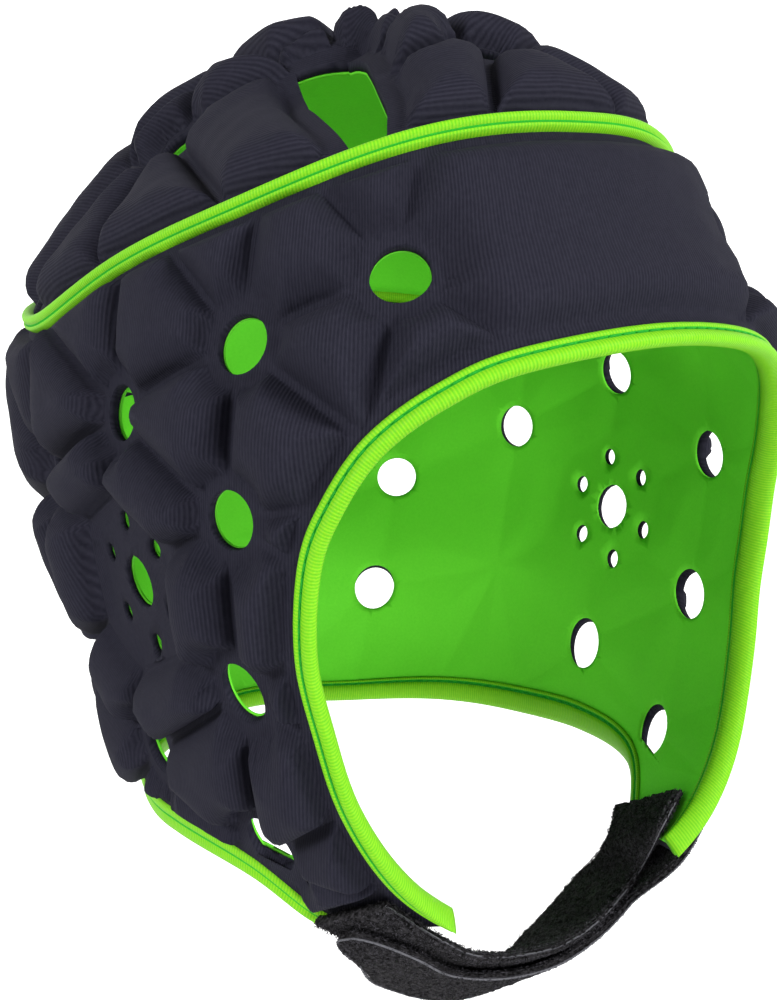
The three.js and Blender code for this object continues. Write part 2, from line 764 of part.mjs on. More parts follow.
function chinPoints() {
  const end = pointAt(direction(...FLAP_ROWS[1].front), OVER_PANEL);
  return CHIN_ROUTE.map(({ across, back, drop, lean, splay }) => {
    const front = new THREE.Vector3(
      -across * end.x,
      end.y + back * LOOP_STRAP_WIDTH,
      end.z - drop * CHIN_DROP,
    );
    const width = new THREE.Vector3(
      Math.sin(radians(splay)),
      Math.cos(radians(lean)) * Math.cos(radians(splay)),
      -Math.sin(radians(lean)),
    );
    return { front, rear: front.clone().addScaledVector(width.normalize(), LOOP_STRAP_WIDTH) };
  });
}

function strapStations(rows, steps) {
  const front = new THREE.CatmullRomCurve3(rows.map((row) => row.front));
  const rear = new THREE.CatmullRomCurve3(rows.map((row) => row.rear));
  return Array.from({ length: steps + 1 }, (_, k) => {
    const t = k / steps;
    const along = front.getTangent(t).add(rear.getTangent(t));
    const across = rear.getPoint(t).sub(front.getPoint(t));
    const normal = new THREE.Vector3().crossVectors(across, along).normalize();
    return { front: front.getPoint(t), rear: rear.getPoint(t), normal };
  });
}

function loopEdges() {
  const rows = [
    ...flapPoints(FLAP_ROWS, OVER_PANEL, 1),
    ...chinPoints(),
    ...flapPoints(INSIDE_ROWS, UNDER_LINING, -1),
  ];
  return strapStations(rows, STRAP_STEPS);
}

// The hook strap follows the loop strap at one pitch, then leaves it for its own flap
function hookEdges() {
  const share = HOOK_STRAP_WIDTH / LOOP_STRAP_WIDTH;
  const under = loopEdges().slice(HOOK_FIRST, HOOK_LAST + 1);
  const covered = under.map(({ front, rear, normal }, k) => {
    const set = (1 - share) * (1 - (HOOK_DRIFT * k) / under.length);
    return {
      front: front.clone().lerp(rear, set).addScaledVector(normal, STRAP_PITCH),
      rear: front.clone().lerp(rear, set + share).addScaledVector(normal, STRAP_PITCH),
      normal,
    };
  });
  const sewn = flapPoints(FLAP_ROWS, OVER_PANEL, -1).map(({ front, rear }) => ({
    front,
    rear: front.clone().lerp(rear, share),
  }));
  const tail = strapStations([...covered.slice(-2), ...sewn.reverse()], 3 * TAIL_STEPS);
  return [...covered, ...tail.slice(TAIL_STEPS + 1)];
}

function strapGeometry(stations) {
  const half = STRAP_THICKNESS / 2;
  return sweep(
    stations.map(({ front, rear, normal }) => [
      front.clone().addScaledVector(normal, half),
      rear.clone().addScaledVector(normal, half),
      rear.clone().addScaledVector(normal, -half),
      front.clone().addScaledVector(normal, -half),
    ]),
    false,
  );
}

const lowerRise = -(PIPING_WIDTH / 2 + 2 * PIECE_GAP);
const lowerCorners = new Corners()
  .add(VENTS, null, VENT_RADIUS)
  .add(JOINS, null, 0)
  .addSeam(SEAM_CORNERS, lowerRise)
  .addLine('face', FACE_EDGE)
  .addLine('nape', NAPE_EDGE)
  .add(EAR_EDGE, 'ear', 0);
const crownCorners = new Corners()
  .add(CROWN_VENTS, null, CROWN_VENT_RADIUS)
  .add(CROWN_JOINS, null, 0)
  .addSeam(CROWN_SEAM_CORNERS, -lowerRise)
  .add(FRONT_OPENING, 'opening', 0)
  .add(REAR_OPENING, 'opening', 0);
const lowerLayout = {
  corners: lowerCorners,
  middleCells: LOWER_MIDDLE_CELLS,
  sideCells: LOWER_SIDE_CELLS,
  flatCells: [FLAP_END],
  earPatch: EAR_PATCH,
};
const crownLayout = {
  corners: crownCorners,
  middleCells: CROWN_MIDDLE_CELLS,
  sideCells: CROWN_SIDE_CELLS,
  flatCells: [],
};

const cap = new THREE.Group();

function addPiece(name, geometry, material) {
  const mesh = new THREE.Mesh(geometry, material);
  mesh.name = name;
  cap.add(mesh);
}

const jersey = new THREE.MeshStandardMaterial({ color: 0x23252d, roughness: 0.85, metalness: 0 });
const lining = new THREE.MeshStandardMaterial({ color: 0x55b82e, roughness: 0.7, metalness: 0 });
const tape = new THREE.MeshStandardMaterial({ color: 0x86e11f, roughness: 0.65, metalness: 0 });
const hookAndLoop = new THREE.MeshStandardMaterial({ color: 0x1b1a1c, roughness: 0.95, metalness: 0 });

addPiece('lower_panel', shell(lowerLayout, PANEL_INNER, PANEL_OUTER, PAD_HEIGHT), jersey);
addPiece('crown_panel', shell(crownLayout, PANEL_INNER, PANEL_OUTER, CROWN_PAD_HEIGHT), jersey);
addPiece('lower_lining', shell(lowerLayout, 0, LINING, 0), lining);
addPiece('crown_lining', shell(crownLayout, 0, LINING, 0), lining);
addPiece('crown_piping', sweep(pipingStations(), true), tape);
addPiece('face_binding', sweep(tapeStations(lowerCorners, 'face', bindingSection()), false), tape);
addPiece('nape_binding', sweep(tapeStations(lowerCorners, 'nape', bindingSection()), false), tape);

addPiece('loop_strap', strapGeometry(loopEdges()), hookAndLoop);
addPiece('hook_strap', strapGeometry(hookEdges()), hookAndLoop);

export default cap;
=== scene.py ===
# %% [markdown]
# # A padded rugby scrum cap
# The cap is two jersey panels with foam blocks laminated into them: a lower panel that goes round
# the brow, ears and nape, and a crown. A green lining backs both. A lime tape covers the seam
# between them, the same tape binds the face opening and the nape, and a hook-and-loop strap
# closes under the chin. Lengths below are in millimetres until a mesh is made.

# %% Load the frame
import math

import bpy
import numpy as np
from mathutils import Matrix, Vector
from mathutils.geometry import delaunay_2d_cdt


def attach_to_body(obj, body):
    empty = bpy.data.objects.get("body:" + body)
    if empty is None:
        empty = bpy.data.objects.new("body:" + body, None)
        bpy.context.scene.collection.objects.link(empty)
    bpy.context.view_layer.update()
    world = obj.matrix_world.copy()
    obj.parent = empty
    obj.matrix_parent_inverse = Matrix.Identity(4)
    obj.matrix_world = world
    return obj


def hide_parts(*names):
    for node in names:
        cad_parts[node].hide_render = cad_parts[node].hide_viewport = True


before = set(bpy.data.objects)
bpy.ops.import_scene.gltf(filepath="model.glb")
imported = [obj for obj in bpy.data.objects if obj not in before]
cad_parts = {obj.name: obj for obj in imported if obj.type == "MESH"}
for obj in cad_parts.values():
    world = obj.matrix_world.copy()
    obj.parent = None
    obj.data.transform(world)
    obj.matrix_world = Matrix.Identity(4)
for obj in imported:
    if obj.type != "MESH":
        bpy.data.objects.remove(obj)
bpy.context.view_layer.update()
print("frame nodes:", ", ".join(sorted(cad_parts)))

# %% [markdown]
# ## The head form
# Everything is laid on one form, the shape of a head seen from its centre. The rows of the table
# are heights of view, 20 degrees apart. Each holds the reach ahead, to the side and behind, as
# shares of three named reaches, and how square the back is in plan. A low ridge follows the crown
# seam. A form like this keeps the cap's layers parallel, as cloth and foam are.

# %% Head form
CENTRE = np.array([0.0, 0.0, -98.0])
FRONT_SQUARENESS = 2.1
SECTION_START, SECTION_STEP = -70, 20
REACHES = np.array([104, 77, 107, 1])
SECTIONS = REACHES * np.array([
    [1.17, 1.76, 0.94, 2.0],
    [1.21, 1.33, 1.12, 1.9],
    [1.345, 1.07, 0.96, 1.95],
    [1.24, 0.995, 0.97, 2.25],
    [1.095, 1.0, 1.04, 2.55],
    [0.95, 1.045, 1.03, 2.4],
    [0.95, 1.095, 0.98, 2.3],
    [0.98, 1.145, 0.945, 2.35],
])
SECTIONS = np.vstack([SECTIONS, [98, 98, 98, 2.35]])
SEAM_HEIGHTS = [47.7, 49, 47.7, 42, 34.2, 20.8, 17.6, 16.2]
SEAM_STEP = 30
SEAM_RIDGE, SEAM_RIDGE_SPREAD = 5.0, 11.0


def smooth_table(values, step, start, x):
    values = np.asarray(values, float)
    spot = np.clip((np.asarray(x, float) - start) / step, 0, len(values) - 1)
    k = np.minimum(np.floor(spot).astype(int), len(values) - 2)
    t = spot - k
    padded_values = np.concatenate([[2 * values[0] - values[1]], values, [values[-2]]])
    before, here, after, beyond = (padded_values[k + j] for j in range(4))
    slope0, slope1 = (after - before) / 2, (beyond - here) / 2
    lift = 3 * (after - here) - 2 * slope0 - slope1
    bend = 2 * (here - after) + slope0 + slope1
    return here + t * (slope0 + t * (lift + t * bend))


def direction(turn, up):
    turn, up = np.radians(np.asarray(turn, float)), np.radians(np.asarray(up, float))
    return np.stack([-np.sin(turn) * np.cos(up), -np.cos(turn) * np.cos(up), np.sin(up) + 0 * turn], -1)


def turn_and_up(way):
    way = np.asarray(way, float)
    return (np.degrees(np.arctan2(-way[..., 0], -way[..., 1])),
            np.degrees(np.arcsin(np.clip(way[..., 2], -1, 1))))


def seam_height(turn):
    turn = (np.asarray(turn, float) + 180) % 360 - 180
    return smooth_table(SEAM_HEIGHTS, SEAM_STEP, -SEAM_STEP, np.abs(turn))


def reach(way):
    turn, up = turn_and_up(way)
    ridge = SEAM_RIDGE * np.exp(-((up - seam_height(turn)) / SEAM_RIDGE_SPREAD) ** 2)
    front, side, back, square = (
        smooth_table(SECTIONS[:, k], SECTION_STEP, SECTION_START, up) for k in range(4))
    ahead, across = np.cos(np.radians(turn)), np.abs(np.sin(np.radians(turn)))
    power = np.where(ahead > 0, FRONT_SQUARENESS, square)
    length = np.where(ahead > 0, front, back)
    return (np.abs(ahead / length) ** power + (across / side) ** power) ** (-1 / power) + ridge


def place(way, offset):
    way = np.asarray(way, float)
    return CENTRE + way * (reach(way) + offset)[..., None]


def unit(v):
    return v / np.linalg.norm(v, axis=-1, keepdims=True)


def run_along(points):
    """The distance run along a line of points, at each of them."""
    return np.concatenate([[0], np.cumsum(np.linalg.norm(np.diff(points, axis=0), axis=1))])


print("form: inside width %.0f, length %.0f" % (
    2 * reach(direction(90, 0)), reach(direction(0, 10)) + reach(direction(180, 10))))

# %% [markdown]
# ## Corners of the foam blocks
# The foam is cut in blocks whose corners meet at vents, seams and edges. A corner is a direction
# on the form. The far half of the cap is the mirror image, so each corner is written once, and a
# name with a minus sign is its mirror image.

# %% Corner tables
VENTS = {
    "brow_vent": (33, 31), "temple_vent": (57, 23.3), "over_ear_vent": (86, 12),
    "cheek_vent": (57, -1), "jaw_vent": (57, -26), "flap_vent": (56, -47),
    "rear_vent": (116.5, -3.2), "under_ear_vent": (88, -43), "back_vent": (144, -15),
    "nape_vent": (149, -36),
}
JOINS = {"behind_ear": (118, -33), "back_high": (180, 2), "back_low": (180, -24)}
SEAM_TURNS = {f"s{turn}": turn for turn in (29, 47, 57, 77, 87, 113, 142, 164)}
FACE_EDGE = {
    "f0": (0, 21.8), "f1": (19, 20), "f2": (29, 16.5), "f3": (37.3, 10.7), "f4": (42.7, 2.8),
    "f5": (45.6, -5), "f6": (46.4, -17), "f7": (44.3, -26), "f8": (41, -34.6),
    "f9": (34.3, -42.9), "f10": (25.1, -49.2),
}
NAPE_EDGE = {
    "n0": (41.2, -55.5), "n1": (48.6, -54), "n2": (61.9, -50.9), "n3": (86, -51.5),
    "n4": (108, -52), "n5": (132, -51.5), "n6": (154, -50.5), "n7": (180, -48),
}
EAR_EDGE = {
    "e1": (71, -8), "e2": (87, -1.5), "e3": (101.5, -9), "e4": (105, -27.5), "e5": (88.5, -32),
    "e6": (71, -24.5),
}
LOWER_MIDDLE_CELLS = ["s29 brow_vent f1 f0 -f1 -brow_vent -s29", "s164 -s164 back_high"]
LOWER_SIDE_CELLS = [
    "s29 s47 brow_vent", "s47 s57 temple_vent brow_vent", "s57 s77 temple_vent",
    "s77 s87 over_ear_vent temple_vent", "s87 s113 over_ear_vent", "s113 rear_vent over_ear_vent",
    "s113 s142 rear_vent", "s142 back_vent rear_vent", "s142 s164 back_high back_vent",
    "back_vent back_high back_low", "back_vent back_low nape_vent", "nape_vent back_low n7",
    "nape_vent n7 n6", "rear_vent back_vent behind_ear", "back_vent nape_vent behind_ear",
    "behind_ear nape_vent n5", "nape_vent n6 n5", "behind_ear n5 n4", "under_ear_vent behind_ear n4",
    "under_ear_vent n4 n3", "under_ear_vent n3 n2 flap_vent", "jaw_vent flap_vent under_ear_vent",
    "e6 jaw_vent under_ear_vent e5", "e5 under_ear_vent behind_ear e4", "e4 behind_ear rear_vent e3",
    "e3 rear_vent over_ear_vent e2", "e2 over_ear_vent cheek_vent e1", "e1 cheek_vent jaw_vent e6",
    "over_ear_vent temple_vent cheek_vent", "temple_vent brow_vent f3", "brow_vent f1 f2 f3",
    "temple_vent f3 f4 cheek_vent", "cheek_vent f4 f5", "cheek_vent f5 f6 jaw_vent",
    "jaw_vent f6 f7", "jaw_vent f7 f8 flap_vent", "flap_vent f8 f9", "flap_vent f9 n1 n2",
]
FLAP_END = "f9 f10 n0 n1"
EAR_PATCH = "e1 e2 e3 e4 e5 e6"
CROWN_VENTS = {"front_vent": (0, 68.8), "side_vent": (120, 55.5), "rear_crown_vent": (180, 49)}
CROWN_JOINS = {
    "mid_front": (0, 83), "mid_back": (180, 80.6), "mid_rear": (180, 65), "top_side": (140, 81),
    "top_rear": (132, 72.5), "rear_side": (149, 63), "upper_side": (117, 63.8),
}
CROWN_TURNS = {f"k{turn}": turn for turn in (16, 35, 41, 65, 99, 125, 131, 162)}
OPENINGS = {
    "o1": (35, 56.5), "o2": (38, 64), "o3": (47, 75), "o4": (95, 83), "o5": (116, 76),
    "o6": (64, 66), "r1": (125, 46.5), "r2": (131, 46),
}
CROWN_MIDDLE_CELLS = ["k16 -k16 front_vent", "k162 -k162 rear_crown_vent"]
CROWN_SIDE_CELLS = [
    "k16 k35 o1 o2 front_vent", "front_vent o2 o3 mid_front", "mid_front o3 o4 top_side mid_back",
    "o4 o5 top_rear top_side", "mid_back top_side top_rear rear_side mid_rear",
    "o5 upper_side side_vent rear_side top_rear", "k41 k65 side_vent upper_side o5 o6",
    "k65 k99 side_vent", "k99 k125 r1 side_vent", "side_vent r1 r2 rear_side",
    "k131 k162 rear_crown_vent r2", "r2 rear_crown_vent mid_rear rear_side",
]

# %% [markdown]
# ## Seams and outlines
# A block's outline runs from corner to corner: straight over the form between two corners, along
# the crown seam or an edge line where both lie on it, and round the rim where a corner is a vent.
# Neighbours ask for a shared side in the same order, so their points are the same and weld.

# %% Outlines
FINE_STEP = 2.1
VENT_RADIUS, CROWN_VENT_RADIUS = 6.3, 5.5
PIPING_HALF = 2.0
SEAM_RISE = PIPING_HALF - 0.1


def seam_way(turn, rise):
    height = seam_height(turn)
    shift = np.degrees(rise / reach(direction(turn, height)))
    return direction(turn, height + shift)


class Chart:
    """Flat millimetres round one direction on the form."""

    def __init__(self, middle):
        self.middle = unit(np.asarray(middle, float))
        pole = np.array([0, 1.0, 0]) if abs(self.middle[2]) > 0.9 else np.array([0, 0, 1.0])
        self.east = unit(np.cross(pole, self.middle))
        self.north = np.cross(self.middle, self.east)
        self.scale = float(reach(self.middle))

    def flat(self, way):
        x, y = way @ self.east, way @ self.north
        spread = np.hypot(x, y)
        angle = np.arctan2(spread, way @ self.middle)
        return np.stack([x, y], -1) * (angle * self.scale / np.maximum(spread, 1e-9))[..., None]

    def way(self, flat):
        distance = np.linalg.norm(flat, axis=-1)
        angle = distance / self.scale
        lean = (np.sin(angle) / np.maximum(distance, 1e-9))[..., None]
        return (np.cos(angle)[..., None] * self.middle
                + lean * (flat[..., :1] * self.east + flat[..., 1:] * self.north))


class Corners:
    def __init__(self):
        self.rows, self.lines = {}, {}

    def add(self, table, edge=None, vent=0.0):
        for name, (turn, up) in table.items():
            self.rows[name] = dict(way=direction(turn, up), edge=edge, vent=vent, turn=turn)

    def add_seam(self, table, rise):
        self.rise = rise
        for name, turn in table.items():
            self.rows[name] = dict(way=seam_way(turn, rise), edge="seam", vent=0.0, turn=turn)

    def add_line(self, edge, table):
        names = list(table)
        middle = next(name for name in names if table[name][0] % 180 == 0)
        half = names if names[-1] == middle else names[::-1]
        order = half + ["-" + name for name in half[-2::-1]]
        spots = []
        for name in order:
            turn, up = table[name.strip("-")]
            spots.append((-turn if name.startswith("-") else turn, up))
        spots = np.array(spots, float)
        if table[middle][0] == 180:
            spots[:, 0] %= 360
        self.lines[edge] = (order, spots)
        self.add(table, edge)

    def get(self, name):
        row = self.rows[name.strip("-")]
        if not name.startswith("-"):
            return row
        return dict(row, way=row["way"] * [-1, 1, 1], turn=-row["turn"])

    def mirror(self, names):
        other = []
        for name in names:
            middle = not name.startswith("-") and self.rows[name]["turn"] % 180 == 0
            other.append(name if middle else name[1:] if name.startswith("-") else "-" + name)
        return other

    def line_ways(self, edge, first, last, t):
        order, spots = self.lines[edge]
        i, j = order.index(first), order.index(last)
        at = np.clip(i + (j - i) * t, 0, len(order) - 1)
        turn = smooth_table(spots[:, 0], 1, 0, at)
        up = smooth_table(spots[:, 1], 1, 0, at)
        return direction(turn, up)

    def start(self, name, toward):
        row = self.get(name)
        if not row["vent"]:
            return row["way"]
        chart = Chart(row["way"])
        return chart.way(unit(chart.flat(self.get(toward)["way"])) * row["vent"])

    def side(self, name, toward, step):
        flipped = name > toward
        first, last = (toward, name) if flipped else (name, toward)
        a, b = self.get(first), self.get(last)
        start, end = self.start(first, last), self.start(last, first)
        angle = math.acos(max(-1.0, min(1.0, float(start @ end))))
        steps = max(1, math.ceil(angle * float(reach(start)) / step))
        t = np.linspace(0, 1, steps + 1)
        if a["edge"] == "seam" and b["edge"] == "seam":
            gap = (b["turn"] - a["turn"] + 180) % 360 - 180
            ways = seam_way(a["turn"] + gap * t, self.rise)
        elif a["edge"] == b["edge"] and a["edge"] in self.lines:
            ways = self.line_ways(a["edge"], first, last, t)
        else:
            ways = unit((1 - t)[:, None] * start + t[:, None] * end)
        return ways[::-1] if flipped else ways

    def rim(self, before, name, after, step):
        row = self.get(name)
        chart = Chart(row["way"])
        ends = [chart.flat(self.get(other)["way"]) for other in (before, after)]
        first, last = (math.atan2(end[1], end[0]) for end in ends)
        sweep = (last - first + math.pi) % (2 * math.pi) - math.pi
        steps = max(1, round(abs(sweep) * row["vent"] / step))
        angle = first + sweep * np.arange(0, steps) / steps
        return chart.way(np.stack([np.cos(angle), np.sin(angle)], -1) * row["vent"])

    def outline(self, names, step):
        ways, kinds = [], []
        for k, name in enumerate(names):
            before, after = names[k - 1], names[(k + 1) % len(names)]
            if self.get(name)["vent"]:
                rim = self.rim(before, name, after, step / 2)
                ways.extend(rim)
                kinds.extend(["vent"] * len(rim))
            side = self.side(name, after, step)[:-1]
            ways.extend(side)
            kinds.extend([self.kind(name, after)] * len(side))
        return np.array(ways), kinds

    def kind(self, name, after):
        edges = {self.get(name)["edge"], self.get(after)["edge"]}
        if "opening" in edges and edges <= {"opening", "seam"}:
            return "opening"
        return edges.pop() or "groove" if len(edges) == 1 else "groove"


lower = Corners()
lower.add(VENTS, vent=VENT_RADIUS)
lower.add(JOINS)
lower.add_seam(SEAM_TURNS, -SEAM_RISE)
lower.add_line("face", FACE_EDGE)
lower.add_line("nape", NAPE_EDGE)
lower.add(EAR_EDGE, edge="ear")
crown = Corners()
crown.add(CROWN_VENTS, vent=CROWN_VENT_RADIUS)
crown.add(CROWN_JOINS)
crown.add_seam(CROWN_TURNS, SEAM_RISE)
crown.add(OPENINGS, edge="opening")


def both_sides(corners, middle, side):
    cells = [names.split() for names in middle]
    for names in side:
        cells.append(names.split())
        cells.append(corners.mirror(names.split()))
    return cells


lower_cells = both_sides(lower, LOWER_MIDDLE_CELLS, LOWER_SIDE_CELLS)
crown_cells = both_sides(crown, CROWN_MIDDLE_CELLS, CROWN_SIDE_CELLS)
print("foam blocks:", len(lower_cells), "below and", len(crown_cells), "on the crown")

# %% [markdown]
# ## Laying skins over the blocks
# Each block is laid as rings from its outline to its middle. The height of the jersey comes from
# the distance to the nearest seam: it hugs the backing along a seam, climbs the block's cut edge
# steeply, rolls over and rises a little more to the middle. That is how a stretch cloth drapes
# over a die-cut block, and it is surer here than a cloth simulation, because the blocks are
# glued between two cloths and can't move.

# %% Block surface
FLOOR = 3.2
BACKING = 0.9
PAD_HEIGHT = 9.6
SHOULDER = 8.0
DOME = 0.2
LANDS = {"groove": 0.9, "vent": 3.7, "seam": 2.6, "face": 3.4, "nape": 3.0, "opening": 4.6, "ear": 1.2}
EDGE_SHARE = {"nape": 0.74, "seam": 0.76}
CORNER_POWER, CORNER_SHARE = 3.6, 0.62
PUFF_FROM, PUFF_TO = (50, 85), (-8, -30)
PUFF_LEAST = 0.15
SMALL_BLOCK, FULL_BLOCK = 0.72, 11.0
HEIGHT_SPREAD, LEAN_SPREAD, SAG = 0.06, 0.05, 0.18
RINGS = 15
WELD = 0.004


def block_grid(corners, names, step, rings, power=1.6):
    ways, kinds = corners.outline(names, step)
    lengths = np.linalg.norm(ways - np.roll(ways, -1, 0), axis=1)
    chart = Chart((ways * (lengths + np.roll(lengths, 1))[:, None]).sum(0))
    flats = chart.flat(ways)
    area = np.sum(flats[:, 0] * np.roll(flats[:, 1], -1) - flats[:, 1] * np.roll(flats[:, 0], -1))
    if area < 0:
        flats, kinds = flats[::-1], kinds[::-1]
        kinds = kinds[1:] + kinds[:1]
    share = (np.arange(rings) / rings) ** power
    grid = flats[None] * (1 - share)[:, None, None]
    points = np.vstack([grid.reshape(-1, 2), [[0.0, 0.0]]])
    return chart, flats, kinds, points


def seam_distance(points, flats, lands):
    start, along = flats, np.roll(flats, -1, 0) - flats
    reach2 = np.maximum((along ** 2).sum(1), 1e-9)
    t = np.clip(((points[:, None] - start) * along).sum(2) / reach2, 0, 1)
    gaps = np.linalg.norm(points[:, None] - start - t[..., None] * along, axis=2)
    return np.maximum(gaps - lands, 0.0)


def puffiness(way, on_crown):
    """0 where the jersey is stretched flat over the brow and temple, 1 where it hugs each block."""
    turn, up = turn_and_up(way)
    behind = (abs(turn) - PUFF_FROM[0]) / (PUFF_FROM[1] - PUFF_FROM[0])
    below = (up - PUFF_TO[0]) / (PUFF_TO[1] - PUFF_TO[0])
    return 1.0 if on_crown else float(np.clip(max(behind, below), PUFF_LEAST, 1))


def block_height(points, flats, kinds, seed, puff):
    lands = np.array([LANDS[kind] for kind in kinds])
    gaps = seam_distance(points, flats, lands)
    nearest = gaps.min(1)
    soft = nearest.copy()
    inside = nearest > 1e-6
    soft[inside] = np.mean(gaps[inside] ** -CORNER_POWER, axis=1) ** (-1 / CORNER_POWER) * CORNER_SHARE
    soft = np.minimum(soft, nearest)
    t = np.clip(soft / SHOULDER, 0, 1)
    climb = (1 - puff) * np.sin(t * math.pi / 2) ** 1.05 + puff * np.sqrt(1 - (1 - t) ** 2.2)
    middle = np.clip(nearest / max(nearest.max(), 1e-6), 0, 1)
    share = min([EDGE_SHARE.get(kind, 1.0) for kind in kinds])
    size = SMALL_BLOCK + (1 - SMALL_BLOCK) * min(1.0, nearest.max() / FULL_BLOCK)
    chance = np.random.default_rng(seed)
    height = PAD_HEIGHT * share * size * (1 + chance.uniform(-HEIGHT_SPREAD, HEIGHT_SPREAD))
    lean = chance.uniform(-LEAN_SPREAD, LEAN_SPREAD, 2) / max(np.abs(flats).max(), 1)
    sag = SAG * np.sin(points @ [0.41, 0.23] + seed) * np.sin(points @ [-0.19, 0.37] + 2 * seed) * climb
    return height * ((1 - DOME) * climb + DOME * middle * (2 - middle)) * (1 + points @ lean) + sag


def ring_faces(count, rings):
    faces = []
    for level in range(rings - 1):
        here, above = level * count, (level + 1) * count
        for k in range(count):
            j = (k + 1) % count
            faces.append((here + k, here + j, above + j, above + k))
    last, top = (rings - 1) * count, rings * count
    faces.extend((last + k, last + (k + 1) % count, top) for k in range(count))
    return faces


def weld(points):
    """The first point at each place, and the number of its place for every point."""
    keys = np.round(points / WELD).astype(np.int64)
    _, first, number = np.unique(keys, axis=0, return_index=True, return_inverse=True)
    return first, number.reshape(-1)


class Skin:
    """Points and faces, welded when the mesh is made. Each point keeps its way and its cloth place."""

    def __init__(self):
        self.points, self.faces, self.ways = [], [], []
        self.count = 0

    def add(self, ways, offsets, faces, flipped=False):
        self.points.append(place(ways, offsets))
        self.ways.append(ways)
        base = self.count
        for face in faces:
            face = tuple(base + k for k in face)
            self.faces.append(face[::-1] if flipped else face)
        self.count += len(ways)

    def mesh(self, name, uv=None):
        points, ways = np.vstack(self.points), np.vstack(self.ways)
        first, number = weld(points)
        faces = []
        for face in self.faces:
            ring = []
            for k in (number[v] for v in face):
                if not ring or ring[-1] != k:
                    ring.append(int(k))
            if len(ring) > 1 and ring[0] == ring[-1]:
                ring.pop()
            if len(set(ring)) == len(ring) > 2:
                faces.append(ring)
        return build_mesh(name, points[first], faces, None if uv is None else uv(ways[first]))


def build_mesh(name, points, faces, uv=None, smooth=True):
    data = bpy.data.meshes.new(name)
    data.from_pydata((np.asarray(points) * 0.001).tolist(), [], faces)
    data.validate(clean_customdata=False)
    if uv is not None:
        layer = data.uv_layers.new(name="cloth")
        corners = np.zeros(len(data.loops), int)
        data.loops.foreach_get("vertex_index", corners)
        layer.data.foreach_set("uv", np.asarray(uv, float)[corners].ravel())
    data.polygons.foreach_set("use_smooth", [smooth] * len(data.polygons))
    data.update()
    obj = bpy.data.objects.new(name, data)
    bpy.context.scene.collection.objects.link(obj)
    return obj


def triangles(obj):
    return sum(len(p.vertices) - 2 for p in obj.data.polygons)


def open_edges(skin_faces):
    edges = {}
    for face in skin_faces:
        for a, b in zip(face, face[1:] + face[:1]):
            edges[(a, b)] = True
    return [(a, b) for a, b in edges if (b, a) not in edges]


print("helpers ready")

# %% [markdown]
# ## The ear patches
# Over each ear the foam stops, and a thin flat patch is pierced by one hole and a ring of six
# small ones, so that the player can hear. The patch is a Delaunay mesh with the holes cut out.

# %% Ear patch
EAR_HOLE, EAR_HOLE_RADIUS = (85, -17), 6.3
SMALL_HOLES, SMALL_HOLE_RADIUS, SMALL_HOLE_CIRCLE, SMALL_HOLE_FIRST = 6, 2.5, 14.5, 16
PATCH_STEP, PATCH_CLEARANCE = 2.4, 0.6
LARGE_HOLE_POINTS, SMALL_HOLE_POINTS = 40, 20


def ear_patch(side, step):
    names = EAR_PATCH.split() if side > 0 else lower.mirror(EAR_PATCH.split())
    ways, _ = lower.outline(names, FINE_STEP)
    chart = Chart(direction(EAR_HOLE[0] * side, EAR_HOLE[1]))
    flats = chart.flat(ways)
    holes = [((0.0, 0.0), EAR_HOLE_RADIUS)]
    for k in range(SMALL_HOLES):
        angle = math.radians(SMALL_HOLE_FIRST + 360 / SMALL_HOLES * k)
        x = -side * SMALL_HOLE_CIRCLE * math.cos(angle)
        holes.append(((x, SMALL_HOLE_CIRCLE * math.sin(angle)), SMALL_HOLE_RADIUS))
    points = [tuple(p) for p in flats]
    edges = [(k, (k + 1) % len(flats)) for k in range(len(flats))]
    for (x, y), radius in holes:
        first = len(points)
        count = LARGE_HOLE_POINTS if radius == EAR_HOLE_RADIUS else SMALL_HOLE_POINTS
        for k in range(count):
            angle = 2 * math.pi * k / count
            points.append((x + radius * math.cos(angle), y + radius * math.sin(angle)))
            edges.append((first + k, first + (k + 1) % count))
    low, high = flats.min(0), flats.max(0)
    for x in np.arange(low[0], high[0], step):
        for y in np.arange(low[1], high[1], step):
            spot = np.array([[x, y]])
            clear = seam_distance(spot, flats, 0.0).min() > step * PATCH_CLEARANCE
            off_holes = (math.hypot(x - a, y - b) > r + step * PATCH_CLEARANCE for (a, b), r in holes)
            if clear and all(off_holes):
                points.append((x, y))
    found = delaunay_2d_cdt([Vector(p) for p in points], edges, [], 1, 1e-5)
    spots = np.array([tuple(p) for p in found[0]])
    outline = [tuple(p) for p in flats]
    faces = []
    for face in found[2]:
        centre = spots[list(face)].mean(0)
        in_hole = any(np.hypot(*(centre - c)) < r * 0.985 for c, r in holes)
        if not in_hole and inside_outline(centre, outline):
            a, b, c = (spots[k] for k in face)
            turned = (b[0] - a[0]) * (c[1] - a[1]) - (b[1] - a[1]) * (c[0] - a[0]) < 0
            faces.append(tuple(face)[::-1] if turned else tuple(face))
    edge_gap = seam_distance(spots, flats, 0.0).min(1)
    hole_gap = np.min([np.hypot(*(spots - c).T) - r for c, r in holes], axis=0)
    return chart.way(spots), faces, edge_gap, hole_gap


def inside_outline(point, outline):
    x, y = point
    odd = False
    for (ax, ay), (bx, by) in zip(outline, outline[1:] + outline[:1]):
        if (ay > y) != (by > y) and x < ax + (y - ay) * (bx - ax) / (by - ay):
            odd = not odd
    return odd


ears = {side: ear_patch(side, PATCH_STEP) for side in (1, -1)}
print("ear patch faces:", [len(ears[side][1]) for side in ears])

# %% [markdown]
# ## The two padded panels
# The jersey's outer face, its rims round every vent, hole and edge, and a plain back against the
# lining make one closed piece, as the laminate is. The blocks beside the nape edge and the crown
# seam are lower, and the flap's end is flat where the straps are sewn.

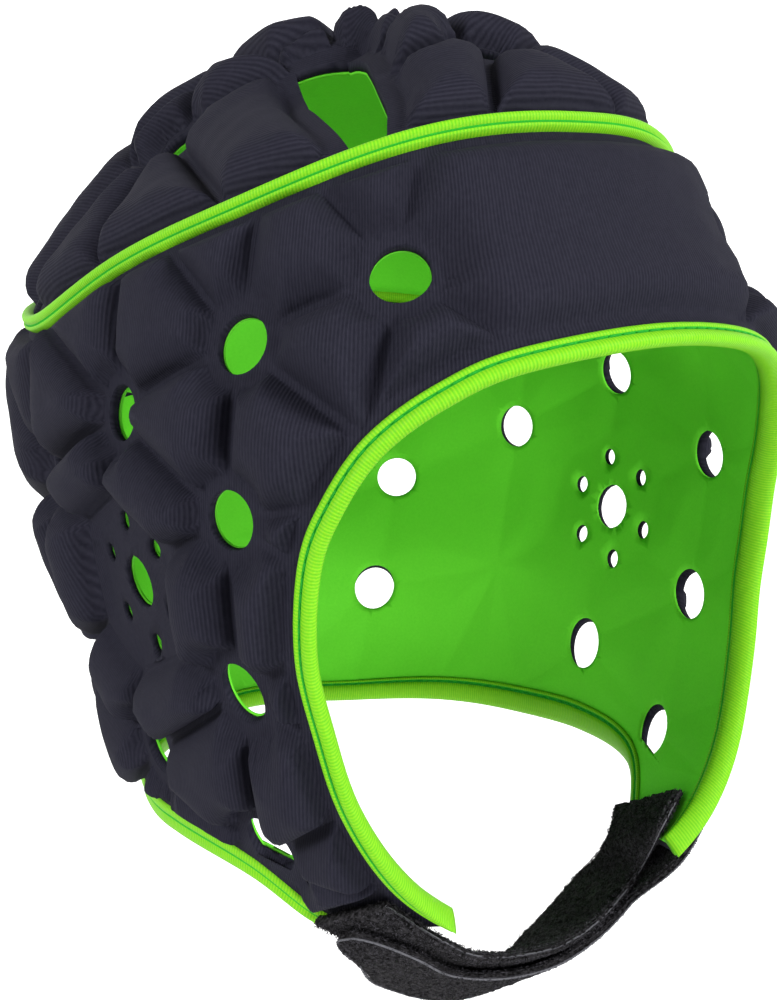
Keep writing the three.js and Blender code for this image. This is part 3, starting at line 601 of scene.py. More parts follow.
# %% Panels
EAR_SINK, EAR_SINK_WIDTH = 1.5, 3.5
HOLE_RIM, HOLE_RIM_WIDTH = 0.5, 0.9
FLAP_RISE, FLAP_RISE_WIDTH, FLAP_RINGS = 0.9, 4.0, 6
FLAP_CELLS = [FLAP_END.split(), lower.mirror(FLAP_END.split())]


def ribs_round(ways):
    """Cloth places in metres for ribs that run up and down."""
    turn, up = turn_and_up(ways)
    return np.stack([np.radians(turn) * 0.085, np.radians(up) * 0.1], -1)


def ribs_level(ways):
    """Cloth places in metres for ribs that run level round the crown."""
    points = place(ways, 8) - CENTRE
    return np.stack([points[..., 2] * 0.001 + points[..., 1] * 0.00035, points[..., 0] * 0.001], -1)


def panel(name, corners, cells, flat_cells, ear_sides, uv):
    skin = Skin()
    for number, names in enumerate(cells):
        chart, flats, kinds, points = block_grid(corners, names, FINE_STEP, RINGS)
        height = block_height(points, flats, kinds, number, puffiness(chart.middle, corners is crown))
        height[:len(flats)] = 0.0
        skin.add(chart.way(points), FLOOR + height, ring_faces(len(flats), RINGS))
    for names in flat_cells:
        chart, flats, kinds, points = block_grid(corners, names, FINE_STEP, FLAP_RINGS, 1.0)
        gap = seam_distance(points, flats, 0.0).min(1)
        rise = FLAP_RISE * np.clip(gap / FLAP_RISE_WIDTH, 0, 1)
        skin.add(chart.way(points), FLOOR + rise, ring_faces(len(flats), FLAP_RINGS))
    for side in ear_sides:
        ways, faces, edge_gap, hole_gap = ears[side]
        sink = EAR_SINK * np.clip(edge_gap / EAR_SINK_WIDTH, 0, 1) ** 0.7
        rim = HOLE_RIM * np.exp(-(hole_gap / HOLE_RIM_WIDTH) ** 2)
        skin.add(ways, FLOOR - sink + rim, faces)
    rim_walls(skin, BACKING)
    for names in cells + flat_cells:
        chart, flats, kinds, points = block_grid(corners, names, FINE_STEP, 2)
        skin.add(chart.way(points), BACKING + np.zeros(len(points)), ring_faces(len(flats), 2), True)
    for side in ear_sides:
        ways, faces, edge_gap, hole_gap = ears[side]
        skin.add(ways, BACKING + np.zeros(len(ways)), faces, True)
    return skin.mesh(name, uv)


def rim_walls(skin, depth):
    """Closes every open edge of the outer face down to the backing's depth."""
    points, ways = np.vstack(skin.points), np.vstack(skin.ways)
    first, number = weld(points)
    welded = [tuple(int(number[v]) for v in face) for face in skin.faces]
    rims = open_edges(welded)
    radii = np.linalg.norm(points - CENTRE, axis=1) - reach(ways)
    for a, b in rims:
        i, j = first[a], first[b]
        corners = np.array([ways[j], ways[i], ways[i], ways[j]])
        skin.add(corners, np.array([radii[j], radii[i], depth, depth]), [(0, 1, 2, 3)])


lower_panel = panel("lower_padded_panel", lower, lower_cells, FLAP_CELLS, (1, -1), ribs_round)
crown_panel = panel("crown_padded_panel", crown, crown_cells, [], (), ribs_level)
print("panels:", triangles(lower_panel), "and", triangles(crown_panel), "triangles")

# %% [markdown]
# ## The lining
# The lining is a thin, smooth cloth glued to the inside of the blocks. It takes the form's shape,
# sinks a little along the seams and has the same vents and holes.

# %% Lining
LINING_THICKNESS, LINING_RINGS = 0.7, 7
LINING_SWELL, LINING_SWELL_WIDTH = 0.55, 9.0


def lining(name, corners, cells, ear_sides):
    skin = Skin()
    for names in cells:
        chart, flats, kinds, points = block_grid(corners, names, FINE_STEP, LINING_RINGS, 1.2)
        gap = seam_distance(points, flats, 0.0).min(1)
        swell = LINING_SWELL * np.clip(gap / LINING_SWELL_WIDTH, 0, 1) ** 0.8
        swell[:len(flats)] = 0.0
        skin.add(chart.way(points), -swell, ring_faces(len(flats), LINING_RINGS), True)
    for side in ear_sides:
        ways, faces, edge_gap, hole_gap = ears[side]
        skin.add(ways, np.zeros(len(ways)), faces, True)
    rim_walls(skin, LINING_THICKNESS)
    return skin.mesh(name, ribs_round)


lower_lining = lining("lower_lining_cloth", lower, lower_cells + FLAP_CELLS, (1, -1))
crown_lining = lining("crown_lining_cloth", crown, crown_cells, ())
print("linings:", triangles(lower_lining), "and", triangles(crown_lining), "triangles")

# %% [markdown]
# ## Tape along the seams
# One ribbed elastic tape is used three times. On the crown seam it lies over the join with one
# row of stitches near its lower edge. Round the face and the nape it is folded over the panel's
# raw edge. Each is a section swept along its line: a narrow lip, a stitched groove and a roll.
# The roll of the face tape narrows towards both ends, where the straps meet it.

# %% Tape
def sweep(name, stations, ring):
    stations = np.asarray(stations)
    count, size = stations.shape[:2]
    along = run_along(stations.mean(1))
    faces = []
    for k in range(count if ring else count - 1):
        for j in range(size):
            here, after = k * size, ((k + 1) % count) * size
            faces.append((here + j, here + (j + 1) % size, after + (j + 1) % size, after + j))
    if not ring:
        faces.append(tuple(range(size))[::-1])
        faces.append(tuple((count - 1) * size + j for j in range(size)))
    across = np.arange(size) / size
    uv = np.stack([np.repeat(along * 0.001, size), np.tile(across * 0.02, count)], -1)
    return build_mesh(name, stations.reshape(-1, 3), faces, uv)


def outward_check(obj):
    """Turns the faces out if the closed mesh's signed volume is negative."""
    co = np.array([v.co[:] for v in obj.data.vertices])
    total = 0.0
    for p in obj.data.polygons:
        v = [co[k] for k in p.vertices]
        for i in range(1, len(v) - 1):
            total += float(np.dot(v[0], np.cross(v[i], v[i + 1])))
    if total < 0:
        obj.data.flip_normals()
    return obj


PIPING_SECTION = np.array([
    (-2.0, 1.0), (-2.15, 3.4), (-2.0, 4.7), (-1.55, 5.5), (-0.95, 6.0), (-0.3, 6.1), (0.35, 5.8),
    (0.75, 5.1), (0.95, 4.3), (1.15, 4.9), (1.5, 5.15), (1.95, 4.7), (2.15, 3.4), (2.0, 1.0),
])
PIPING_GROOVE = (7, 8)
BINDING_SECTION = np.array([
    (0.1, 2.6), (-0.4, 3.4), (-0.1, 4.2), (0.45, 4.5), (1.0, 4.25), (1.3, 3.6), (1.6, 4.2),
    (2.1, 4.7), (2.8, 4.95), (3.5, 4.8), (4.15, 4.2), (4.6, 3.2), (4.75, 2.0), (4.5, 0.7), (3.8, -0.4),
    (2.8, -0.95), (1.8, -0.95), (1.35, -0.45), (0.9, -0.85), (0.2, -0.8), (-0.2, -0.3), (0.1, 0.6),
])
BINDING_GROOVE = (4, 5, 16, 17)
GROOVE_OUT, TAPE_STEP, TAPE_TAPER, TAPE_TIP = 1.3, 1.6, 22.0, 0.15
PIPING_STATIONS, DENSE_STATIONS, PANEL_MIDDLE = 420, 1400, 3.0


def band_stations(ways, section, closed, narrow=None):
    """A section of (out, offset) rows at each way of a line. Out is to the left of the line.
    The roll outside the groove is drawn in by narrow, one share for each way."""
    along = np.roll(ways, -1, 0) - np.roll(ways, 1, 0) if closed else np.gradient(ways, axis=0)
    out = unit(np.cross(ways, along))
    narrow = np.ones(len(ways)) if narrow is None else narrow
    roll = np.maximum(section[:, 0] - GROOVE_OUT, 0)[None] * (1 - narrow[:, None])
    angle = (section[None, :, 0] - roll) / reach(ways)[:, None]
    shifted = np.cos(angle)[..., None] * ways[:, None] + np.sin(angle)[..., None] * out[:, None]
    return place(shifted, np.broadcast_to(section[None, :, 1], shifted.shape[:2]))


def edge_ways(edge):
    order, _ = lower.lines[edge]
    dense = np.linspace(0, 1, DENSE_STATIONS)
    length = run_along(place(lower.line_ways(edge, order[0], order[-1], dense), PANEL_MIDDLE))
    count = int(length[-1] / TAPE_STEP)
    share = np.interp(np.linspace(0, length[-1], count + 1), length, dense)
    return lower.line_ways(edge, order[0], order[-1], share), length[-1]


piping_ways = seam_way(np.linspace(-180, 180, PIPING_STATIONS, endpoint=False), 0.0)
piping = outward_check(sweep("crown_tape", band_stations(piping_ways, PIPING_SECTION, True), True))
face_ways, face_length = edge_ways("face")
nape_ways, nape_length = edge_ways("nape")


def on_outside(ways, edge):
    """The section's out side must point away from the panel: down at the nape, inward at the brow."""
    middle = len(ways) // 2
    out = np.cross(ways[middle], ways[middle + 1] - ways[middle - 1])
    return ways if out[2] < 0 else ways[::-1]


face_ways, nape_ways = on_outside(face_ways, "face"), on_outside(nape_ways, "nape")
from_end = np.minimum(np.arange(len(face_ways)), np.arange(len(face_ways))[::-1]) * TAPE_STEP
face_narrow = TAPE_TIP + (1 - TAPE_TIP) * np.sin(np.clip(from_end / TAPE_TAPER, 0, 1) * math.pi / 2)
face_stations = band_stations(face_ways, BINDING_SECTION, False, face_narrow)
face_tape = outward_check(sweep("face_tape", face_stations, False))
nape_tape = outward_check(sweep("nape_tape", band_stations(nape_ways, BINDING_SECTION, False), False))
print("tape: face %.0f mm, nape %.0f mm" % (face_length, nape_length))

# %% [markdown]
# ## Stitches
# The tapes are sewn with a lock stitch, seen as short dark-green dashes in the groove. Each stitch
# is a small six-sided bead laid along the groove, half sunk in the tape.

# %% Stitches
STITCH_PITCH, STITCH_LENGTH = 3.4, 2.5


def stitch_rows(name, centres, alongs, ups, length, width):
    points, faces = [], []
    for c, a, u in zip(centres, alongs, ups):
        b = np.cross(a, u)
        first = len(points)
        for s, w in ((-0.5, 0.35), (-0.3, 1.0), (0.3, 1.0), (0.5, 0.35)):
            for k in range(6):
                angle = math.pi * k / 3
                ring = b * math.cos(angle) + u * math.sin(angle)
                points.append(c + a * s * length + ring * w * width / 2)
        for level in range(3):
            here = first + level * 6
            for k in range(6):
                j = (k + 1) % 6
                faces.append((here + k, here + j, here + 6 + j, here + 6 + k))
        faces.append(tuple(first + k for k in range(6))[::-1])
        faces.append(tuple(first + 18 + k for k in range(6)))
    return build_mesh(name, points, faces)


def stitches_along(name, ways, out, offset, width, closed=False):
    line = band_stations(ways, np.array([(out, offset)]), closed)[:, 0]
    if closed:
        line = np.vstack([line, line[:1]])
    run = run_along(line)
    spots = np.arange(STITCH_PITCH / 2, run[-1] - STITCH_PITCH / 2, STITCH_PITCH)
    centres = np.stack([np.interp(spots, run, line[:, k]) for k in range(3)], -1)
    ahead = np.stack([np.interp(spots + 0.5, run, line[:, k]) for k in range(3)], -1)
    alongs = unit(ahead - centres)
    ups = unit(centres - CENTRE)
    ups = unit(ups - alongs * (ups * alongs).sum(1)[:, None])
    return stitch_rows(name, centres, alongs, ups, STITCH_LENGTH, width)


stitches = [
    stitches_along("crown_tape_stitches", piping_ways, 0.95, 4.5, 0.5, True),
    stitches_along("face_tape_stitches", face_ways, 1.3, 3.9, 0.6),
    stitches_along("nape_tape_stitches", nape_ways, 1.3, 3.9, 0.6),
    stitches_along("face_inner_stitches", face_ways, 1.35, -0.6, 0.6),
    stitches_along("nape_inner_stitches", nape_ways, 1.35, -0.6, 0.6),
]
print("stitches:", sum(len(o.data.polygons) for o in stitches) // 20)

# %% [markdown]
# ## The chin strap
# A fuzzy loop strap is sewn on the right flap, passes under the chin and ends inside the left
# flap. A hook strap is sewn on the left flap and closes over it with a rounded tip. Both follow
# two smooth lines, a front and a rear edge, so that they twist as a flat band does.

# %% Strap lines
PANEL_TOP, STRAP_THICKNESS, STRAP_NAP, STRAP_CLEARANCE = 4.55, 2.6, 1.4, 0.7
LOOP_WIDTH, HOOK_WIDTH, CHIN_DROP = 36.0, 27.0, 18.0
LINING_GAP, NAP_SUNK = 1.1, 0.5
LOOP_STATIONS, HOOK_STATIONS, TAIL_STATIONS = 181, 121, 61
OVER_PANEL = PANEL_TOP + STRAP_CLEARANCE + STRAP_THICKNESS / 2
UNDER_LINING = -LINING_GAP - STRAP_THICKNESS / 2
FLAP_ROWS = [((34.8, -44), (48.3, -53.7)), ((26.2, -49.2), (41.7, -55.3))]
INSIDE_ROWS = [((25.5, -48.9), (42.7, -59.5)), ((32.8, -45.8), (50.8, -57.7))]
CHIN_ROUTE = [  # across, back, drop, lean, splay
    (-0.58, 0.17, 0.62, 24, -16), (-0.15, 0.26, 0.95, 35, -9), (0.29, 0.34, 1.12, 35, -3),
    (0.67, 0.4, 1.01, 29, 5), (0.98, 0.4, 0.54, 26, 12),
]


def smooth_line(points, t):
    """A centripetal Catmull-Rom line through the points, t from 0 to 1."""
    points = np.asarray(points, float)
    ends = [2 * points[0] - points[1]], [2 * points[-1] - points[-2]]
    full = np.vstack([ends[0], points, ends[1]])
    spot = np.clip(np.asarray(t, float) * (len(points) - 1), 0, len(points) - 1)
    k = np.minimum(np.floor(spot).astype(int), len(points) - 2)
    w = (spot - k)[:, None]
    p0, p1, p2, p3 = (full[k + j] for j in range(4))
    pairs = ((p0, p1), (p1, p2), (p2, p3))
    d0, d1, d2 = (np.sqrt(np.linalg.norm(b - a, axis=1))[:, None] for a, b in pairs)
    m1 = ((p1 - p0) / d0 - (p2 - p0) / (d0 + d1) + (p2 - p1) / d1) * d1
    m2 = ((p2 - p1) / d1 - (p3 - p1) / (d1 + d2) + (p3 - p2) / d2) * d1
    return p1 + w * (m1 + w * (3 * (p2 - p1) - 2 * m1 - m2 + w * (2 * (p1 - p2) + m1 + m2)))


def flap_points(rows, offset, side):
    return [tuple(place(direction(turn * side, up), offset) for turn, up in row) for row in rows]


def band_lines(rows, t):
    front = smooth_line([row[0] for row in rows], t)
    rear = smooth_line([row[1] for row in rows], t)
    along = np.gradient(front + rear, axis=0)
    return front, rear, unit(np.cross(rear - front, along))


chin_end = place(direction(*FLAP_ROWS[1][0]), OVER_PANEL)
chin_rows = []
for across, back, drop, lean, splay in CHIN_ROUTE:
    start = np.array([-across * chin_end[0], chin_end[1] + back * LOOP_WIDTH, chin_end[2] - drop * CHIN_DROP])
    lean, splay = math.radians(lean), math.radians(splay)
    width = unit(np.array([math.sin(splay), math.cos(lean) * math.cos(splay), -math.sin(lean)]))
    chin_rows.append((start, start + width * LOOP_WIDTH))
loop_rows = flap_points(FLAP_ROWS, OVER_PANEL, 1) + chin_rows + flap_points(INSIDE_ROWS, UNDER_LINING, -1)
loop_front, loop_rear, loop_normal = band_lines(loop_rows, np.linspace(0, 1, LOOP_STATIONS))

HOOK_START, HOOK_END, HOOK_DRIFT = 1 / 30, 21 / 30, 0.8
hook_share = HOOK_WIDTH / LOOP_WIDTH
hook_spots = np.linspace(HOOK_START, HOOK_END, HOOK_STATIONS)
under_front, under_rear, under_normal = band_lines(loop_rows, hook_spots)
drift = ((1 - hook_share) * (1 - HOOK_DRIFT * np.linspace(0, 1, HOOK_STATIONS)))[:, None]
lift = under_normal * (STRAP_THICKNESS + STRAP_NAP - NAP_SUNK)
hook_front = under_front + (under_rear - under_front) * drift + lift
hook_rear = under_front + (under_rear - under_front) * (drift + hook_share) + lift
sewn = [(front, front + (rear - front) * hook_share)
        for front, rear in flap_points(FLAP_ROWS, OVER_PANEL, -1)][::-1]
tail_rows = [(hook_front[-8], hook_rear[-8]), (hook_front[-1], hook_rear[-1])] + sewn
tail_front, tail_rear, _ = band_lines(tail_rows, np.linspace(1 / 3, 1, TAIL_STATIONS))
hook_front, hook_rear = np.vstack([hook_front, tail_front[1:]]), np.vstack([hook_rear, tail_rear[1:]])
hook_normal = unit(np.cross(hook_rear - hook_front, np.gradient(hook_front + hook_rear, axis=0)))
hook_run = run_along((hook_front + hook_rear) / 2)
loop_run = run_along((loop_front + loop_rear) / 2)
print("straps: loop %.0f mm, hook %.0f mm long" % (loop_run[-1], hook_run[-1]))

# %% [markdown]
# ## Strap bodies
# Each strap is a band with a soft rounded edge that isn't quite straight, because the woven nap
# frays. The hook strap's free tip is rounded.

# %% Strap meshes
STRAP_COLUMNS = 26
STRAP_FRAY, STRAP_LUMPS, FRAY_WIDTH, ROUNDED_FROM = 0.8, 0.2, 21, 0.88
LOOP_BODY, HOOK_BODY = 2.3, 2.1
TIP_RADIUS, TIP_START = HOOK_WIDTH / 2, 0.4


def rounded_tip(run):
    """The share of the hook strap's width that is left at each station of its free end."""
    return np.sqrt(np.clip(1 - (1 - np.clip((run + TIP_START) / TIP_RADIUS, 0, 1)) ** 2, 0.01, 1))


loop_keep, hook_keep = np.ones(len(loop_run)), rounded_tip(hook_run)


def band(name, front, rear, normal, thickness, keep, seed):
    chance = np.random.default_rng(seed)
    count = len(front)
    middle, across = (front + rear) / 2, (rear - front) / 2
    fringe = np.cumsum(chance.normal(0, 0.09, (2, count)), axis=1)
    fringe -= np.array([np.convolve(row, np.ones(FRAY_WIDTH) / FRAY_WIDTH, "same") for row in fringe])
    fringe = np.clip(fringe * 1.6, -STRAP_FRAY, STRAP_FRAY)
    side = np.linspace(-1, 1, STRAP_COLUMNS)
    edge = np.clip(np.abs(side) - ROUNDED_FROM, 0, 1) / (1 - ROUNDED_FROM)
    round_edge = np.sqrt(np.clip(1 - edge ** 2, 0.0, 1))
    width = np.linalg.norm(across, axis=1)
    rows = []
    for top in (1, -1):
        order = range(STRAP_COLUMNS) if top > 0 else range(STRAP_COLUMNS - 2, 0, -1)
        for j in order:
            frayed = side[j] * (keep + (fringe[int(side[j] > 0)] / width) * abs(side[j]) ** 8)
            nap = chance.normal(0, STRAP_LUMPS, count)
            rows.append(middle + across * frayed[:, None]
                        + normal * (top * thickness / 2 * round_edge[j] + nap)[:, None])
    stations = np.stack(rows, 1)
    return outward_check(sweep(name, stations, False))


loop_strap = band("loop_strap_band", loop_front, loop_rear, loop_normal, LOOP_BODY, loop_keep, 3)
hook_strap = band("hook_strap_band", hook_front, hook_rear, hook_normal, HOOK_BODY, hook_keep, 4)

# %% [markdown]
# ## Nap and edge threads
# The loops of the strap show as short curved fibres all over it and along its edges. A lighter
# thread overlocks the edge of each strap. The fibres are thin flat slips, bent once.

# %% Fibres
LOOP_FIBRES, HOOK_FIBRES = 42000, 30000
EDGE_FIBRES = 0.22
FIBRE_LENGTHS, FIBRE_HALF_WIDTH = (0.35, 0.75), 0.08
THREAD_RADIUS, THREAD_SIDES = 0.3, 6


def fibres(name, front, rear, normal, thickness, keep, count, seed):
    chance = np.random.default_rng(seed)
    run = np.linspace(0, 1, len(front))
    points, faces = [], []
    spots = chance.uniform(0, 1, count)
    a = chance.uniform(-1.0, 1.0, count)
    edge = chance.random(count) < EDGE_FIBRES
    a = np.where(edge, np.sign(a) * chance.uniform(0.97, 1.0, count), a)
    a *= np.interp(spots, run, keep)
    f, r, n = (np.stack([np.interp(spots, run, line[:, k]) for k in range(3)], -1)
               for line in (front, rear, normal))
    n = unit(n)
    across = unit(r - f)
    along = unit(np.cross(n, across))
    top = chance.choice((1, -1), count)
    lift = top * thickness / 2 * np.where(edge, 0.4, 0.9)
    root = (f + r) / 2 + (r - f) / 2 * a[:, None] + n * lift[:, None]
    grow = unit(n * (top * np.where(edge, 0.3, 1.0))[:, None]
                + across * (np.where(edge, np.sign(a) * 0.9, chance.normal(0, 0.6, count)))[:, None]
                + along * chance.normal(0, 0.7, count)[:, None])
    curl = unit(across * chance.normal(0, 1, count)[:, None] + along * chance.normal(0, 1, count)[:, None])
    size = chance.uniform(*FIBRE_LENGTHS, count)
    width = unit(np.cross(grow, curl)) * FIBRE_HALF_WIDTH
    for k in range(count):
        first = len(points)
        knee = root[k] + grow[k] * size[k] * 0.6
        points.extend([root[k] - width[k], root[k] + width[k], knee - width[k], knee + width[k],
                       knee + (grow[k] * 0.3 + curl[k] * 0.9) * size[k] * 0.7])
        faces.extend([(first, first + 1, first + 3, first + 2), (first + 2, first + 3, first + 4)])
    return build_mesh(name, points, faces, smooth=False)


loop_nap = fibres("loop_strap_nap", loop_front, loop_rear, loop_normal, LOOP_BODY, loop_keep, LOOP_FIBRES, 11)
hook_nap = fibres("hook_strap_nap", hook_front, hook_rear, hook_normal, HOOK_BODY, hook_keep, HOOK_FIBRES, 12)


def thread(name, line):
    along = unit(np.gradient(line, axis=0))
    up = unit(np.cross(along, np.array([0.3, 0.2, 0.93])))
    side = np.cross(along, up)
    angle = np.arange(THREAD_SIDES) * 2 * math.pi / THREAD_SIDES
    ring = np.cos(angle)[None, :, None] * up[:, None] + np.sin(angle)[None, :, None] * side[:, None]
    return outward_check(sweep(name, line[:, None] + ring * THREAD_RADIUS, False))


def inset_line(front, rear, normal, share, lift, keep):
    middle, across = (front + rear) / 2, (rear - front) / 2
    return middle + across * (share * keep)[:, None] + normal * lift


front_thread = inset_line(hook_front, hook_rear, hook_normal, -0.955, 0.85, hook_keep)
rear_thread = inset_line(hook_front, hook_rear, hook_normal, 0.955, 0.85, hook_keep)
loop_edge = inset_line(loop_front, loop_rear, loop_normal, -0.975, 0.2, loop_keep)
hook_thread = thread("hook_strap_thread", np.vstack([rear_thread[::-1], front_thread]))
loop_thread = thread("loop_strap_thread", loop_edge)
print("strap fibres:", triangles(loop_nap) + triangles(hook_nap), "triangles")

# %% [markdown]
# ## Materials
# The jersey is a matt rib knit, the lining a smooth tricot, the tape a ribbed elastic and the
# straps are dull pile. Each is a colour and a darker tone, mixed by fine noise for a random tone.
# Where the cloth is ribbed, waves along the cloth's own places also mix them, and these put the
# darker tone in the rib valleys as painted shade. The same pattern raises a small bump.

# %% Materials
CLOTH_GLOSS, BUMP_STRENGTH = 0.06, 0.8


def cloth(name, colour, dark_tone_and_shade, roughness, depth, rib=0.0, blend=0.5, noise=900, contrast=1.0):
    """A cloth with a bump of depth and ribs every rib millimetres. Blend is the ribs' part of it."""
    mat = bpy.data.materials.new(name)
    mat.use_nodes = True
    nodes, links = mat.node_tree.nodes, mat.node_tree.links
    shader = nodes["Principled BSDF"]
    shader.inputs["Roughness"].default_value = roughness
    shader.inputs["Specular IOR Level"].default_value = CLOTH_GLOSS
    where = nodes.new("ShaderNodeTexCoord")
    speckle = nodes.new("ShaderNodeTexNoise")
    speckle.inputs["Scale"].default_value = noise
    speckle.inputs["Detail"].default_value = 3
    links.new(where.outputs["Object"], speckle.inputs["Vector"])
    stretch = nodes.new("ShaderNodeMath")
    stretch.operation = "MULTIPLY_ADD"
    stretch.use_clamp = True
    stretch.inputs[1].default_value = contrast
    stretch.inputs[2].default_value = 0.5 - 0.5 * contrast
    links.new(speckle.outputs["Fac"], stretch.inputs[0])
    mix = nodes.new("ShaderNodeMix")
    mix.data_type = "RGBA"
    mix.inputs["A"].default_value = (*dark_tone_and_shade, 1)
    mix.inputs["B"].default_value = (*colour, 1)
    links.new(mix.outputs["Result"], shader.inputs["Base Color"])
    bump = nodes.new("ShaderNodeBump")
    bump.inputs["Distance"].default_value = depth * 0.001
    bump.inputs["Strength"].default_value = BUMP_STRENGTH
    links.new(bump.outputs["Normal"], shader.inputs["Normal"])
    if rib:
        place_node = nodes.new("ShaderNodeUVMap")
        place_node.uv_map = "cloth"
        wave = nodes.new("ShaderNodeTexWave")
        wave.inputs["Scale"].default_value = 2 * math.pi / (20 * rib * 0.001)
        wave.inputs["Distortion"].default_value = 0.35
        wave.inputs["Detail"].default_value = 1
        wave.inputs["Detail Scale"].default_value = 0.4
        links.new(place_node.outputs["UV"], wave.inputs["Vector"])
        # Painted shade: the wave puts the darker tone in the rib valleys, where the bump is low.
        both = nodes.new("ShaderNodeMath")
        both.operation = "MULTIPLY_ADD"
        both.inputs[1].default_value = 1 - blend
        links.new(stretch.outputs["Value"], both.inputs[0])
        part = nodes.new("ShaderNodeMath")
        part.operation = "MULTIPLY"
        part.inputs[1].default_value = blend
        links.new(wave.outputs["Fac"], part.inputs[0])
        links.new(part.outputs["Value"], both.inputs[2])
        links.new(both.outputs["Value"], mix.inputs["Factor"])
        links.new(both.outputs["Value"], bump.inputs["Height"])
    else:
        links.new(stretch.outputs["Value"], mix.inputs["Factor"])
        links.new(stretch.outputs["Value"], bump.inputs["Height"])
    return mat


jersey = cloth(
    "jersey_rib", (0.0125, 0.0122, 0.019), (0.0045, 0.0045, 0.0085), 0.85, 0.16,
    rib=0.7, blend=0.6, contrast=2)
lining_cloth = cloth("lining_tricot", (0.10, 0.45, 0.022), (0.068, 0.38, 0.016), 0.7, 0.05, noise=1500)
tape_cloth = cloth("edge_tape", (0.15, 0.34, 0.009), (0.055, 0.27, 0.005), 0.5, 0.12, rib=0.75, blend=0.6)
# Painted shade: a darker green for the bottom of the tapes' stitched grooves, where shade falls.
groove_painted_shade = cloth("tape_groove_painted_shade", (0.02, 0.30, 0.02), (0.008, 0.16, 0.01), 0.8, 0.05, noise=2500)
pile = cloth(
    "strap_pile", (0.022, 0.021, 0.023), (0.001, 0.001, 0.001), 0.95, 0.9, noise=800, contrast=3.5)
fibre = cloth(
    "strap_fibres", (0.045, 0.043, 0.05), (0.004, 0.004, 0.004), 0.9, 0.05, noise=1200, contrast=4)
thread_grey = cloth("strap_thread", (0.10, 0.10, 0.11), (0.03, 0.03, 0.035), 0.8, 0.1, noise=3000)
stitch_green = cloth("stitch_green", (0.012, 0.24, 0.018), (0.005, 0.13, 0.01), 0.6, 0.1, noise=3000)

# %% [markdown]
# ## Put the pieces on the frame
# Each piece stands for its CAD node and rides on the one body, and that CAD node is hidden. The
# linings' cloth area is measured and printed.

# %% Attach
LOWER_CUT, CROWN_CUT = (0.57, 0.15), (0.20, 0.18)


def attach(obj, mat, slot_name, *nodes):
    obj.data.materials.clear()
    obj.data.materials.append(mat)
    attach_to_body(obj, "root")
    if nodes:
        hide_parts(*nodes)


def paint_groove_shade(obj, section, columns):
    """Gives the faces at the bottom of a tape's stitched groove a darker green: painted shade in the groove.
    """
    obj.data.materials.append(groove_painted_shade)
    for number, face in enumerate(obj.data.polygons):
        if len(face.vertices) == 4 and number % len(section) in columns:
            face.material_index = 1


def cloth_area(obj):
    """The area of one side, because the lining is an open sheet on the foam."""
    return sum(face.area for face in obj.data.polygons)


attach(lower_panel, jersey, "jersey", "lower_panel")
attach(crown_panel, jersey, "jersey", "crown_panel")
attach(lower_lining, lining_cloth, "lining", "lower_lining")
attach(crown_lining, lining_cloth, "lining", "crown_lining")
attach(piping, tape_cloth, "edge_tape", "crown_piping")
attach(face_tape, tape_cloth, "edge_tape", "face_binding")
attach(nape_tape, tape_cloth, "edge_tape", "nape_binding")
attach(loop_strap, pile, "hook_and_loop", "loop_strap")
attach(hook_strap, pile, "hook_and_loop", "hook_strap")
# The tapes' groove faces get the painted shade.
paint_groove_shade(piping, PIPING_SECTION, PIPING_GROOVE)
paint_groove_shade(face_tape, BINDING_SECTION, BINDING_GROOVE)
paint_groove_shade(nape_tape, BINDING_SECTION, BINDING_GROOVE)
for obj in (loop_nap, hook_nap):
    attach(obj, fibre, "hook_and_loop")
for obj in (hook_thread, loop_thread):
    attach(obj, thread_grey, "hook_and_loop")
for obj in stitches:
    attach(obj, stitch_green, "edge_tape")
for obj, cut, node in ((lower_lining, LOWER_CUT, "lower_panel"), (crown_lining, CROWN_CUT, "crown_panel")):
    print("%s: %.0f cm2 of cloth" % (obj.name, cloth_area(obj) * 1e4))

# %% [markdown]
# ## Studio
# A white round room stands for the photo's white ground: a flat floor that bends up into a wall,
# open at the top. It glows, most behind the cap, so that its grey doesn't show there.

# %% Stage
FLOOR_HEIGHT, FLOOR_RADIUS, BEND_RADIUS, WALL_TOP = -0.52, 1.6, 1.2, 3.2
ROOM_SIDES, BEND_STEPS = 72, 14
ROOM_GREY, GLOW_WAY = 0.6, (0.55, 0.80, -0.15)
GLOW_FROM, GLOW_TO = (-1.0, 1.2), (0.06, 0.8)
WORLD_LIGHT = 0.4

profile = [(FLOOR_RADIUS, 0.0)]
for angle in np.linspace(0.1, math.pi / 2, BEND_STEPS):
    profile.append((FLOOR_RADIUS + BEND_RADIUS * math.sin(angle), BEND_RADIUS * (1 - math.cos(angle))))
profile.append((FLOOR_RADIUS + BEND_RADIUS, WALL_TOP))
room_points = [(0.0, 0.0, 0.0)]
for r, z in profile:
    for k in range(ROOM_SIDES):
        angle = 2 * math.pi * k / ROOM_SIDES
        room_points.append((r * math.cos(angle), r * math.sin(angle), z))
room_faces = [(0, 1 + k, 1 + (k + 1) % ROOM_SIDES) for k in range(ROOM_SIDES)]
for level in range(len(profile) - 1):
    base = 1 + level * ROOM_SIDES
    for k in range(ROOM_SIDES):
        j = (k + 1) % ROOM_SIDES
        room_faces.append((base + k, base + ROOM_SIDES + k, base + ROOM_SIDES + j, base + j))
room_points = np.array(room_points) * 1000 + [0, 0, FLOOR_HEIGHT * 1000]
floor = build_mesh("studio_sweep", room_points, room_faces)

